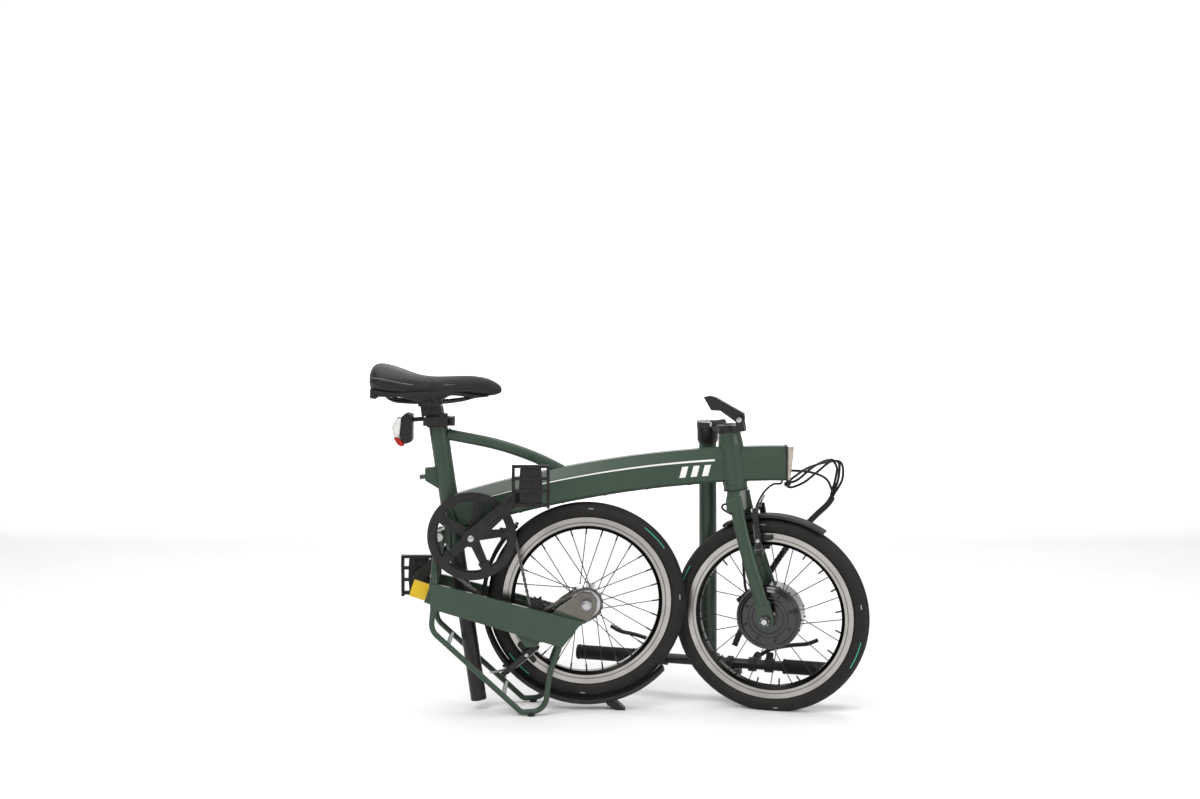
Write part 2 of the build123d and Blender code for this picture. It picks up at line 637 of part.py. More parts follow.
def tyre(axle):
    """A tyre: a round casing open towards the rim, with two beads."""
    with BuildPart() as body:
        with BuildSketch(Plane(origin=axle, x_dir=(1, 0, 0), z_dir=(0, 0, 1))):
            with Locations((TYRE_CENTRE, 0)):
                Circle(TYRE_SECTION)
            with Locations((175, 0)):
                Rectangle(12, 2 * (RIM_HALF_WIDTH - RIM_WALL) - 0.2)
            with Locations((TYRE_CENTRE, 0)):
                Circle(TYRE_SECTION - 3.2, mode=Mode.SUBTRACT)
            with Locations((174.5, 0)):
                Rectangle(14, 14, mode=Mode.SUBTRACT)
            for side in (-1, 1):
                with Locations((172, side * (RIM_HALF_WIDTH - RIM_WALL + 5 - 0.1))):
                    Rectangle(17, 10, mode=Mode.SUBTRACT)
        revolve(axis=Axis(tuple(axle), (0, 1, 0)))
    return body.part


def rim(axle):
    """A deep alloy channel that holds the tyre."""
    inner = RIM_HALF_WIDTH - RIM_WALL
    return around(axle, [
        (RIM_RADIUS, -RIM_HALF_WIDTH), (160, -RIM_HALF_WIDTH), (RIM_BED, -8), (RIM_BED, 8),
        (160, RIM_HALF_WIDTH), (RIM_RADIUS, RIM_HALF_WIDTH), (RIM_RADIUS, inner), (162, inner),
        (157, 6), (157, -6), (162, -inner), (RIM_RADIUS, -inner),
    ])


def spokes(axle, count, flange_radius, flange_right, flange_left, crossing, rise, rim_y=1.5):
    """Separate wire spokes from both hub flanges to the rim, each pair crossing its neighbours."""
    with BuildPart() as group:
        for number in range(count):
            on_left = number % 2
            place = number // 2
            trailing = place % 2
            rim_angle = number * 360 / count
            hub_angle = rim_angle + (crossing if trailing else -crossing)
            flange_y = (flange_left if on_left else flange_right) + (rise if trailing else -rise)
            hub_out, _ = unit_at(hub_angle)
            rim_out, _ = unit_at(rim_angle)
            start = axle + hub_out * flange_radius + Vector(0, flange_y, 0)
            end = axle + rim_out * (RIM_BED - 0.3) + Vector(0, rim_y if on_left else -rim_y, 0)
            add(rod(start, end, SPOKE_RADIUS))
    return group.part


save("rear_tyre", tyre(REAR_AXLE))
save("rear_rim", rim(REAR_AXLE))
HUB_FLANGE_RADIUS = 32.0
rear_hub = around(REAR_AXLE, [
    (AXLE_RADIUS + RUNNING_FIT, -40), (18, -40), (18, -28), (HUB_FLANGE_RADIUS, -26),
    (HUB_FLANGE_RADIUS, -23), (22, -20), (20, 20), (HUB_FLANGE_RADIUS, 27), (HUB_FLANGE_RADIUS, 30),
    (19, 32), (16, 48), (AXLE_RADIUS + RUNNING_FIT, 48),
])
save("rear_hub", rear_hub)
SPOKE_HEAD_RADIUS = HUB_FLANGE_RADIUS + 0.8
rear_spokes = spokes(REAR_AXLE, REAR_SPOKES, SPOKE_HEAD_RADIUS, -24.5, 28.5, 2 * 360 / REAR_SPOKES * 1.0, 1.3)
save("rear_spokes", rear_spokes)

sprocket = around(REAR_AXLE, [
    (AXLE_RADIUS + RUNNING_FIT, -49), (14, -49), (14, -47.5), (SPROCKET_PITCH - BELOW_CHAIN, -47.5),
    (SPROCKET_PITCH - BELOW_CHAIN, -44.5), (17, -44.5), (17, -40.5), (AXLE_RADIUS + RUNNING_FIT, -40.5),
])
save("sprocket", sprocket)

front_tyre = tyre(FRONT_AXLE)
save("front_tyre", steered(front_tyre))
save("front_rim", steered(rim(FRONT_AXLE)))
front_spokes = spokes(FRONT_AXLE, FRONT_SPOKES, MOTOR_RADIUS + 0.4, -20.5, 20.5, 8.0, 1.3)
save("front_spokes", steered(front_spokes))

FRONT_AXLE_RADIUS = 6.0
SHELL_WALL = 4.0
motor_shell = around(FRONT_AXLE, [
    (FRONT_AXLE_RADIUS + RUNNING_FIT, MOTOR_HALF_WIDTH + 5), (16, MOTOR_HALF_WIDTH + 5),
    (20, MOTOR_HALF_WIDTH), (58, MOTOR_HALF_WIDTH - 2), (66, 23), (MOTOR_RADIUS, 22.5),
    (MOTOR_RADIUS, -22.5), (66, -22.5), (62, -22.5), (62, 19), (56, MOTOR_HALF_WIDTH - 6),
    (18, MOTOR_HALF_WIDTH - 4), (FRONT_AXLE_RADIUS + RUNNING_FIT, MOTOR_HALF_WIDTH - 4),
])
motor_cover = around(FRONT_AXLE, [
    (FRONT_AXLE_RADIUS + RUNNING_FIT, -MOTOR_HALF_WIDTH - 5), (16, -MOTOR_HALF_WIDTH - 5),
    (20, -MOTOR_HALF_WIDTH), (56, -MOTOR_HALF_WIDTH + 2), (65.8, -22.5), (FRONT_AXLE_RADIUS + 56, -22.5),
    (54, -MOTOR_HALF_WIDTH + 6), (18, -MOTOR_HALF_WIDTH + 4),
    (FRONT_AXLE_RADIUS + RUNNING_FIT, -MOTOR_HALF_WIDTH + 4),
])
save("motor_shell", steered(joined(motor_shell, motor_cover)))
motor_stator = around(FRONT_AXLE, [
    (FRONT_AXLE_RADIUS, -20), (22, -20), (22, -14), (56, -14), (56, 14), (22, 14), (22, 20),
    (FRONT_AXLE_RADIUS, 20),
])
save("motor_stator", steered(motor_stator))


# ---- fork ---------------------------------------------------------------------------------------

BLADE_ROUTE = [(6, -41, -150), (13, -45, -225), (25, -50, -300), (41, -53, -380)]
DROPOUT_TOP = -AXLE_DEPTH + 42


def fork_side():
    """The right fork blade with its flat end plate and brake boss."""
    points = [at_steer(*p) for p in BLADE_ROUTE]
    with BuildPart() as blade:
        with BuildLine() as route:
            Spline(points)
        with BuildSketch(Plane(origin=route.line @ 0, x_dir=STEER_AHEAD, z_dir=route.line % 0)):
            Ellipse(14, 7.5)
        sweep()
        with BuildSketch(Plane(origin=at_steer(FORK_RAKE, -FORK_INNER_Y, -AXLE_DEPTH),
                               x_dir=STEER_AHEAD, z_dir=(0, -1, 0))):
            Circle(18)
            with BuildLine():
                Polyline((-18, 0), (18, 0), (12, 42), (-20, 42), close=True)
            make_face()
        extrude(amount=6)
    return blade.part


def boss_of(side):
    """The pivot that a front brake arm turns on, standing forward from the blade."""
    boss = FRONT_AXLE + FRONT_OUT * BRAKE_BOSS_RADIUS + Vector(0, side * BRAKE_BOSS_Y, 0)
    back = STEER_AHEAD * -1
    block = rod(boss + back * 26 + Vector(0, side * 5, 0), boss + back * 9, 6.5)
    return joined(block, rod(boss + back * 8, boss - back * 9, 4.0))


with BuildPart() as crown:
    with BuildSketch(Plane(origin=at_steer(-13, 0, 0), x_dir=(0, 1, 0), z_dir=STEER_AHEAD)):
        with BuildLine():
            Polyline((-25, -141), (25, -141), (49, -158), (50, -182), (32, -186), (-32, -186),
                     (-50, -182), (-49, -158), close=True)
        make_face()
    extrude(amount=28)
    add(rod(at_steer(0, 0, -150), at_steer(0, 0, -1), STEERER_RADIUS))
    add(rod(at_steer(0, 0, -187), at_steer(0, 0, 0), 11.0), mode=Mode.SUBTRACT)
right_side = joined(fork_side(), boss_of(-1))
fork = joined(crown.part, both_sides(right_side))
fork = cut(fork, rod(FRONT_AXLE + Vector(0, -60, 0), FRONT_AXLE + Vector(0, 60, 0), FRONT_AXLE_RADIUS))
save("fork", steered(fork))

FORK_NUTS = ((-66.0, -56.0), (56.0, 66.0))
front_axle = joined(
    rod(FRONT_AXLE + Vector(0, -70, 0), FRONT_AXLE + Vector(0, 70, 0), FRONT_AXLE_RADIUS),
    *[rod(FRONT_AXLE + Vector(0, low, 0), FRONT_AXLE + Vector(0, high, 0), 10.0, FRONT_AXLE_RADIUS)
      for low, high in FORK_NUTS],
)
save("front_axle", steered(front_axle))

FRONT_GUARD_START = 58.0
FRONT_GUARD_END = 118.0
front_guard = guard(FRONT_AXLE, FRONT_GUARD_START, FRONT_GUARD_END, 217.0, 2.2, 19.0, 4.0)
save("front_mudguard", steered(front_guard))

# motor lead: from the axle's left end to its plug behind the left blade, then up the blade
MOTOR_LEAD = [
    (43, 74, -AXLE_DEPTH - 2), (18, 78, -AXLE_DEPTH - 10), (-6, 74, -AXLE_DEPTH + 6),
    (-22, 72, -AXLE_DEPTH + 40), (-20, 68, -AXLE_DEPTH + 88), (-14, 62, -AXLE_DEPTH + 140),
    (-14, 54, -AXLE_DEPTH + 190), (-20, 40, -AXLE_DEPTH + 236),
]
motor_lead = cable("motor lead", [tuple(at_steer(*p)) for p in MOTOR_LEAD], 3.0)
PLUG_MIDDLE = at_steer(-24, 72, -AXLE_DEPTH + 26)
with BuildPart() as motor_plug:
    with BuildSketch(Plane(origin=PLUG_MIDDLE - STEER_AHEAD * 14 - STEER_UP * 10,
                           x_dir=(0, 1, 0), z_dir=STEER_AHEAD + STEER_UP * 0.7)):
        RectangleRounded(16, 20, 4)
    extrude(amount=38)
save("motor_lead", steered(joined(cut(motor_lead, motor_plug.part), motor_plug.part)))


# ---- post hinge ---------------------------------------------------------------------------------

KNUCKLE_RADIUS = 8.0
HINGE_PIN_RADIUS = 4.0
LEVER_PIVOT = (34.0, 11.0)
LEVER_Y = (-37.0, -25.2)


def knuckle(low, high, bore):
    """A knuckle around the hinge pin, between two distances along it."""
    return rod(HINGE_POINT + HINGE_DIRECTION * low, HINGE_POINT + HINGE_DIRECTION * high,
               KNUCKLE_RADIUS, bore)


def hinge_arm(low, high, bottom, top):
    """A flat arm from the middle of the post out to the hinge pin."""
    reach = hypot(*HINGE_OFFSET)
    corners = [(0, low), (reach, low), (reach, high), (0, high)]
    turn = [((across - out) / sqrt(2), (across + out) / sqrt(2)) for out, across in corners]
    with BuildPart() as arm:
        with BuildSketch(STEER_PLANE.offset(bottom)):
            with BuildLine():
                Polyline(*turn, close=True)
            make_face()
        extrude(amount=top - bottom)
    return arm.part


hinge_pin_hole = rod(HINGE_POINT - HINGE_DIRECTION * 20, HINGE_POINT + HINGE_DIRECTION * 20,
                     HINGE_PIN_RADIUS)
with BuildPart() as hinge_lower:
    with BuildSketch(STEER_PLANE.offset(-15.8)):
        Circle(24)
    extrude(amount=15.3)
    add(hinge_arm(6.2, 16, -14, -0.8))
    add(hinge_arm(-16, -6.2, -14, -0.8))
    add(knuckle(6.2, 16, 0))
    add(knuckle(-16, -6.2, 0))
    with BuildSketch(STEER_PLANE.offset(-14)):
        with BuildLine():
            Polyline((4, -20), (24, -10), (43, -22), (43, -41), (25, -41), close=True)
        make_face()
    extrude(amount=13)
    for low, high in ((-24.9, -21.5), (-41, -37.3)):
        add(rod(at_steer(LEVER_PIVOT[0], low, LEVER_PIVOT[1]), at_steer(LEVER_PIVOT[0], high, LEVER_PIVOT[1]), 8))
        with BuildSketch(Plane(origin=at_steer(0, high, 0), x_dir=STEER_AHEAD, z_dir=(0, -1, 0))):
            with BuildLine():
                Polyline((26, -6), (42, -6), (42, 11), (26, 11), close=True)
            make_face()
        extrude(amount=high - low)
    add(rod(at_steer(0, 0, -17), at_steer(0, 0, 1), STEERER_RADIUS), mode=Mode.SUBTRACT)
    add(hinge_pin_hole, mode=Mode.SUBTRACT)
lever_slot = rod(at_steer(LEVER_PIVOT[0], LEVER_Y[0] - 0.3, LEVER_PIVOT[1]),
                 at_steer(LEVER_PIVOT[0], LEVER_Y[1] + 0.3, LEVER_PIVOT[1]), 10.0)
hinge_pin = rod(HINGE_POINT - HINGE_DIRECTION * 17.5, HINGE_POINT + HINGE_DIRECTION * 17.5,
                HINGE_PIN_RADIUS)
lever_pin = rod(at_steer(LEVER_PIVOT[0], -41, LEVER_PIVOT[1]), at_steer(LEVER_PIVOT[0], -21.5, LEVER_PIVOT[1]),
                3.5)
hinge_block = joined(cut(hinge_lower.part, lever_slot, lever_pin), hinge_pin, lever_pin)
save("hinge_block", steered(hinge_block))

LEVER_OUTLINE = [
    (-38, 65), (-26, 67), (-14, 63), (44, 23), (44, 10), (38, 2), (28, 4), (-5, 33), (-25, 36), (-32, 52),
]
with BuildPart() as hinge_lever:
    with BuildSketch(Plane(origin=at_steer(0, LEVER_Y[1], 0), x_dir=STEER_AHEAD, z_dir=(0, -1, 0))) as face:
        with BuildLine():
            Polyline(*LEVER_OUTLINE, close=True)
        make_face()
        fillet(face.vertices(), 1.2)
        with Locations(LEVER_PIVOT):
            Circle(9.5)
            Circle(3.5 + RUNNING_FIT, mode=Mode.SUBTRACT)
    extrude(amount=LEVER_Y[1] - LEVER_Y[0])
save("hinge_lever", steered(hinge_lever.part))


# ---- handlepost, bar and controls ---------------------------------------------------------------

BAR_CENTRE = at_steer(0, 0, HANDLEPOST_LENGTH)


def along_bar(low, high, radius, bore=0.0, ahead=0.0, up=0.0):
    """A round bar or tube parallel to the handlebar, between two distances from its middle."""
    start = at_steer(ahead, low, HANDLEPOST_LENGTH + up)
    return rod(start, start + Vector(0, high - low, 0), radius, bore)


with BuildPart() as handlepost:
    with BuildSketch(STEER_PLANE.offset(0.6)):
        Circle(24)
    extrude(amount=14)
    add(hinge_arm(-5.8, 5.8, 0.9, 14))
    add(knuckle(-5.8, 5.8, 0))
    add(rod(at_steer(0, 0, 12), at_steer(0, 0, 46), 21.0))
    add(rod(at_steer(0, 0, 12), at_steer(0, 0, HANDLEPOST_LENGTH - 8), HANDLEPOST_RADIUS))
    add(along_bar(-24, 24, 19.0))
    add(rod(at_steer(0, 0, 5), at_steer(0, 0, HANDLEPOST_LENGTH - 22), HANDLEPOST_RADIUS - 2.0),
        mode=Mode.SUBTRACT)
    add(along_bar(-25, 25, BAR_CLAMP_RADIUS), mode=Mode.SUBTRACT)
    add(rod(HINGE_POINT - HINGE_DIRECTION * 20, HINGE_POINT + HINGE_DIRECTION * 20,
            HINGE_PIN_RADIUS + RUNNING_FIT), mode=Mode.SUBTRACT)
save("handlepost", folded(handlepost.part))

handlebar = joined(
    along_bar(-BAR_HALF_LENGTH + 2, BAR_HALF_LENGTH - 2, BAR_RADIUS, BAR_RADIUS - 2),
    along_bar(-34, 34, BAR_CLAMP_RADIUS, BAR_RADIUS),
)
save("handlebar", folded(handlebar))

GRIP_START = 168.0
grips = both_sides(cut(
    along_bar(GRIP_START, BAR_HALF_LENGTH + 1, 16.0),
    along_bar(GRIP_START - 1, BAR_HALF_LENGTH - 2, BAR_RADIUS),
))
save("grips", folded(grips))



def in_bar(point):
    """A point given as ahead, left and up from the middle of the handlebar."""
    ahead, left, up = point
    return at_steer(ahead, left, HANDLEPOST_LENGTH + up)


def brake_lever(side):
    """A brake lever: a blade reaching outward under the grip from its pivot on the clamp."""
    route = [(20, 112, -16), (31, 134, -29), (38, 176, -38), (41, 214, -42), (45, 236, -52)]
    points = [tuple(in_bar((a, side * y, up))) for a, y, up in route]
    pivot = in_bar((18, side * 108, -14))
    tilt = (STEER_AHEAD * 0.8 + STEER_UP * 0.6).normalized()
    body = joined(pipe(points, 4.6), rod(pivot - tilt * 5, pivot + tilt * 5, 7.5))
    return cut(body, rod(pivot - tilt * 12, pivot + tilt * 12, 2.5 + RUNNING_FIT))


def lever_clamp(side):
    """The clamp that holds a brake lever on the bar, with a fork for the lever's pivot pin."""
    pivot = in_bar((18, side * 108, -14))
    tilt = (STEER_AHEAD * 0.8 + STEER_UP * 0.6).normalized()
    ring = along_bar(side * 100 - 8, side * 100 + 8, 15.5)
    ears = [rod(pivot + tilt * (s * 5.3), pivot + tilt * (s * 9.0), 7.0) for s in (-1, 1)]
    foot_a = rod(in_bar((6, side * 98, -4)), pivot + tilt * 7.2 + Vector(0, side * -4, 0), 3.6)
    foot_b = rod(in_bar((3, side * 98, -8)), pivot - tilt * 7.2 + Vector(0, side * -4, 0), 3.6)
    body = joined(ring, *ears, foot_a, foot_b)
    hollow = rod(pivot - tilt * 5.2, pivot + tilt * 5.2, 8.2)
    body = cut(body, along_bar(side * 100 - 30, side * 100 + 30, BAR_RADIUS), hollow)
    pin = rod(pivot - tilt * 9, pivot + tilt * 9, 2.5)
    return joined(cut(body, pin), pin)


for side, name in ((-1, "right"), (1, "left")):
    save(f"brake_lever_{name}", folded(brake_lever(side)))

with BuildPart() as display:
    add(along_bar(44, 56, 15.0))
    with BuildSketch(Plane(origin=in_bar((4, 50, 14)), x_dir=(0, 1, 0), z_dir=STEER_UP)):
        RectangleRounded(46, 34, 6)
    extrude(amount=12)
    add(along_bar(20, 80, BAR_RADIUS), mode=Mode.SUBTRACT)
shifter = cut(along_bar(-164, -128, 18.0), along_bar(-170, -120, BAR_RADIUS))
thumb_switch = cut(
    joined(along_bar(128, 146, 15.5), rod(in_bar((0, 137, -10)), in_bar((8, 137, -26)), 8.0)),
    along_bar(120, 150, BAR_RADIUS),
)
save("bar_controls", folded(joined(lever_clamp(-1), lever_clamp(1), display.part, shifter, thumb_switch)))


# ---- drivetrain ---------------------------------------------------------------------------------

ring_out = [unit_at(CRANK_ANGLE + 36 + 72 * n)[0] for n in range(5)]
BOLT_RADIUS = 4.0


def tab(outward, inner, outer, half_width, y_low, y_high):
    """A radial arm of the spider or guard."""
    with BuildPart() as arm:
        with BuildSketch(Plane(origin=BB + Vector(0, y_high, 0), x_dir=outward, z_dir=(0, -1, 0))):
            with BuildLine():
                Polyline((inner, -half_width - 3), (outer, -half_width), (outer, half_width),
                         (inner, half_width + 3), close=True)
            make_face()
        extrude(amount=y_high - y_low)
    return arm.part


ring_bolts = [
    rod(BB + out * RING_BOLT_CIRCLE + Vector(0, -54.6, 0), BB + out * RING_BOLT_CIRCLE + Vector(0, -43.6, 0),
        BOLT_RADIUS)
    for out in ring_out
]
ring_disc = cut(
    joined(cross_rod(BB, -47.5, -44.5, RING_PITCH - BELOW_CHAIN, 74.0),
           *[tab(out, 60, 76, 9, -47.5, -44.5) for out in ring_out]),
    *ring_bolts,
)
guard_ring = cut(
    joined(cross_rod(BB, -53.5, -50.6, GUARD_RADIUS, GUARD_INNER),
           *[tab(out, 60, 79, 9, -53.5, -50.6) for out in ring_out]),
    *ring_bolts,
)
save("chainring", joined(ring_disc, guard_ring, *ring_bolts))

crank_out = unit_at(CRANK_ANGLE)[0]


def crank(direction, y_inner, y_outer, boss_inner):
    """A crank arm: bosses at the axle and at the pedal joined by a tapering arm."""
    low, high = sorted((y_inner, y_outer))
    boss_low, boss_high = sorted((boss_inner, y_outer))
    pedal_end = BB + direction * CRANK_LENGTH
    with BuildPart() as arm:
        add(cross_rod(BB, boss_low, boss_high, 18.0))
        add(cross_rod(pedal_end, low, high, 13.0))
        with BuildSketch(Plane(origin=BB + Vector(0, high, 0), x_dir=direction, z_dir=(0, -1, 0))):
            with BuildLine():
                Polyline((0, -16), (CRANK_LENGTH, -11.5), (CRANK_LENGTH, 11.5), (0, 16), close=True)
            make_face()
        extrude(amount=high - low)
        add(cross_rod(BB, -84, 84, CRANK_AXLE_RADIUS), mode=Mode.SUBTRACT)
        add(cross_rod(pedal_end, low - 1, high + 1, 7.0), mode=Mode.SUBTRACT)
    return arm.part


right_crank = joined(
    crank(crank_out, -CRANK_INNER_Y, -CRANK_OUTER_Y, -42.0),
    *[cut(tab(out, 12, 74, 8, -50.4, -47.7), *ring_bolts, cross_rod(BB, -60, -40, 17.0)) for out in ring_out],
)
left_crank = crank(crank_out * -1, CRANK_INNER_Y, CRANK_OUTER_Y, 60.0)
pedal_spindles = [
    cross_rod(BB + crank_out * CRANK_LENGTH, -97.3, -CRANK_INNER_Y, 7.0),
    cross_rod(BB + crank_out * -CRANK_LENGTH, CRANK_INNER_Y, 97.3, 7.0),
]
crank_axle = cross_rod(BB, -84, 84, CRANK_AXLE_RADIUS)
save("cranks", joined(right_crank, left_crank, crank_axle, *pedal_spindles))


def tangent(first, first_radius, first_side, second, second_radius, second_side):
    """The ends of the straight chain run between two wheels; side +1 keeps the wheel on its left."""
    link = Vector(second.X - first.X, second.Z - first.Z)
    offset_sum = first_side * first_radius - second_side * second_radius
    heading = atan2(link.Y, link.X) + asin(offset_sum / link.length)
    normal = (-sin(heading), cos(heading))
    start = (first.X - first_side * normal[0] * first_radius, first.Z - first_side * normal[1] * first_radius)
    end = (second.X - second_side * normal[0] * second_radius, second.Z - second_side * normal[1] * second_radius)
    return start, end


CHAIN_WHEELS = [
    (BB, RING_PITCH, 1), (LOWER_PULLEY, PULLEY_PITCH, 1), (REAR_AXLE, SPROCKET_PITCH, 1),
    (UPPER_PULLEY, PULLEY_PITCH, -1),
]


def chain_line():
    """Draws the chain's pitch line round the chainring, both pulleys and the sprocket."""
    count = len(CHAIN_WHEELS)
    runs = [tangent(*CHAIN_WHEELS[i], *CHAIN_WHEELS[(i + 1) % count]) for i in range(count)]
    for i in range(count):
        centre, radius, side = CHAIN_WHEELS[i]
        arrive = runs[i - 1][1]
        leave = runs[i][0]
        start_angle = atan2(arrive[1] - centre.Z, arrive[0] - centre.X)
        end_angle = atan2(leave[1] - centre.Z, leave[0] - centre.X)
        turn = (end_angle - start_angle) * side % (2 * pi)
        middle_angle = start_angle + side * turn / 2
        middle = (centre.X + radius * cos(middle_angle), centre.Z + radius * sin(middle_angle))
        ThreePointArc(arrive, middle, leave)
        Line(leave, runs[i][1])


with BuildPart() as chain:
    for amount, mode in ((CHAIN_HALF_HEIGHT, Mode.ADD), (-CHAIN_HALF_HEIGHT, Mode.SUBTRACT)):
        with BuildSketch(side_plane(CHAIN_Y + CHAIN_HALF_WIDTH)):
            with BuildLine():
                chain_line()
            make_face()
            offset(amount=amount, mode=Mode.REPLACE)
        extrude(amount=2 * CHAIN_HALF_WIDTH, mode=mode)
save("chain", chain.part)

# chain tensioner: a sprung arm with two guide pulleys
PULLEY_PIN_RADIUS = 3.0
TENSIONER_PLATE = (-41.5, -38.0)
with BuildPart() as tensioner_arm:
    with BuildSketch(side_plane(TENSIONER_PLATE[1])):
        for centre, radius in ((TENSIONER_PIVOT, 11), (UPPER_PULLEY, 7), (LOWER_PULLEY, 7)):
            with Locations((centre.X, centre.Z)):
                Circle(radius)
        for centre in (UPPER_PULLEY, LOWER_PULLEY):
            with BuildLine():
                Polyline(
                    (TENSIONER_PIVOT.X + 6, TENSIONER_PIVOT.Z - 8), (TENSIONER_PIVOT.X + 2, TENSIONER_PIVOT.Z + 9),
                    (centre.X + 1, centre.Z + 5), (centre.X - 1, centre.Z - 5), close=True,
                )
            make_face()
        with Locations((TENSIONER_PIVOT.X, TENSIONER_PIVOT.Z)):
            Circle(5.0 + RUNNING_FIT, mode=Mode.SUBTRACT)
    extrude(amount=TENSIONER_PLATE[1] - TENSIONER_PLATE[0])
    for centre in (UPPER_PULLEY, LOWER_PULLEY):
        add(cross_rod(centre, -50.3, TENSIONER_PLATE[0], PULLEY_PIN_RADIUS))
save("tensioner_arm", tensioner_arm.part)
for centre, name in ((UPPER_PULLEY, "upper_pulley"), (LOWER_PULLEY, "lower_pulley")):
    save(name, cross_rod(centre, -48.5, -43.5, PULLEY_PITCH - BELOW_CHAIN, PULLEY_PIN_RADIUS + RUNNING_FIT))


# ---- pedals -------------------------------------------------------------------------------------

PEDAL_DROP = 38.0
PEDAL_HINGE_Y = 104.5
PEDAL_PIN_RADIUS = 2.5
CAGE_HALF_WIDTH = 39.0
CAGE_HALF_HEIGHT = 45.0


def pedal(centre, side):
    """A folding pedal: the block that turns on the spindle, and the cage folded flat beside it."""
    hinge = Vector(centre.X, side * PEDAL_HINGE_Y, centre.Z - PEDAL_DROP)
    across = Vector(1, 0, 0)

    def plate(x_low, x_high, z_low, z_high, y_inner, y_outer):
        width, height, depth = x_high - x_low, z_high - z_low, y_outer - y_inner
        with BuildPart() as block:
            with Locations((centre.X + (x_low + x_high) / 2, side * (y_inner + y_outer) / 2,
                            centre.Z + (z_low + z_high) / 2)):
                Box(width, depth, height)
        return block.part

    def bar(x_low, x_high, radius):
        return rod(hinge + across * x_low, hinge + across * x_high, radius)

    sleeve_low, sleeve_high = sorted((side * 87.0, side * 99.5))
    spindle_low, spindle_high = sorted((side * 80.0, side * 97.6))
    block = joined(
        cross_rod(centre, sleeve_low, sleeve_high, 13.0),
        plate(-8, 8, -36, -4, 95.5, 99.5),
        plate(-8, 8, -40, -34, 96.5, 104.5),
        bar(-8, 8, 5.0),
    )
    block = cut(block, cross_rod(centre, spindle_low, spindle_high, 7.0 + RUNNING_FIT), bar(-30, 30, PEDAL_PIN_RADIUS))
    block = joined(block, bar(-24, 24, PEDAL_PIN_RADIUS))
    cage = [bar(8.4, 24, 5.0), bar(-24, -8.4, 5.0)]
    for low, high in ((8.4, 34), (-34, -8.4)):
        cage.append(plate(low, high, -42, -35, 105, 117))
    for low, high in ((CAGE_HALF_WIDTH - 6, CAGE_HALF_WIDTH), (-CAGE_HALF_WIDTH, -CAGE_HALF_WIDTH + 6)):
        cage.append(plate(low, high, -CAGE_HALF_HEIGHT, CAGE_HALF_HEIGHT, 101, 118))
    for z_low in (39, 14, -12):
        cage.append(plate(-34, 34, z_low, z_low + 6, 103, 116))
    cage.append(plate(-14, -8, -10, 42, 104, 115))
    cage.append(plate(8, 14, -10, 42, 104, 115))
    cage = cut(joined(*cage), bar(-30, 30, PEDAL_PIN_RADIUS + RUNNING_FIT))
    return block, cage


for side, name in ((-1, "right"), (1, "left")):
    block, cage = pedal(BB - crank_out * (side * CRANK_LENGTH), side)
    save(f"{name}_pedal_block", block)
    save(f"{name}_pedal_cage", cage)


# ---- cables -------------------------------------------------------------------------------------

BELOW_BEAM = 3.2


def under_beam(x, y):
    """A point just under the beam's bottom face."""
    radius = BEAM_ARC - BEAM_HEIGHT - BELOW_BEAM
    return (x, y, BEAM_TOP - BEAM_ARC + sqrt(radius ** 2 - (x - BEAM_ARC_X) ** 2))


rear_cable = [under_beam(x, 14) for x in (215, 130, 45, -40, -125, -210)]
frame_cables = [cable("rear brake cable", rear_cable, 2.0)]
save("frame_cables", joined(*frame_cables))

FRONT_LOOPS = [
    [(398, -9, 490), (440, -6, 516), (492, 12, 512), (514, 36, 478), (505, 56, 452)],
    [(397, 9, 490), (430, 14, 528), (472, 24, 556), (520, 40, 546), (528, 54, 494), (510, 61, 456)],
]
loops = [cable(f"front loop {n + 1}", route, 2.5) for n, route in enumerate(FRONT_LOOPS)]
save("front_cables", joined(*loops))

SLEEVE_ROUTE = [(504, 60, 446), (462, 66, 410), (414, 76, 352), (372, 92, 284), (330, 104, 200), (296, 100, 120)]
save("cable_sleeve", cable("cable sleeve", SLEEVE_ROUTE, 5.0))
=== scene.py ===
import json
from math import asin, atan2, cos, pi, radians, sin

import bmesh
import bpy
from mathutils import Matrix, Vector


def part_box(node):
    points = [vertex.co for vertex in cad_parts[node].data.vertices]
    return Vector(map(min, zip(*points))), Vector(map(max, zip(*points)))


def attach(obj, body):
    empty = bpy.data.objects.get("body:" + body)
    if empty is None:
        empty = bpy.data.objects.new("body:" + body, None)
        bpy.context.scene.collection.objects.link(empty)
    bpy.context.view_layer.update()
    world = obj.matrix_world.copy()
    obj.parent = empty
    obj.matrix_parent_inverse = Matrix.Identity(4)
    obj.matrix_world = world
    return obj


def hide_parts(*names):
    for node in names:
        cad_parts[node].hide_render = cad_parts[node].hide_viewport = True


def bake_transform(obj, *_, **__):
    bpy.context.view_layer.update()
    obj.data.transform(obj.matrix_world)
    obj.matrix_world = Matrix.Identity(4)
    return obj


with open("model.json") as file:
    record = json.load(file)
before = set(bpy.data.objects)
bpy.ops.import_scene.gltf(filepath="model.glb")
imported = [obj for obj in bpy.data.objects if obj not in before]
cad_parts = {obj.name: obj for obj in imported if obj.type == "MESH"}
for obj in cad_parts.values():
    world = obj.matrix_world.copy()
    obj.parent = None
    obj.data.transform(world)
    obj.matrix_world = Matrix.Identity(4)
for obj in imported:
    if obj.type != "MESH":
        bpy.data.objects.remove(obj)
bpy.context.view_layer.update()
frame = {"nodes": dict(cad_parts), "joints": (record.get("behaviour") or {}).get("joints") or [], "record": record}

# Folding electric bicycle, standing folded. Metres, +X front, +Y left, +Z up. Shapes are given in
# millimetres of the bicycle's own frame and moved into the row frame by mm().

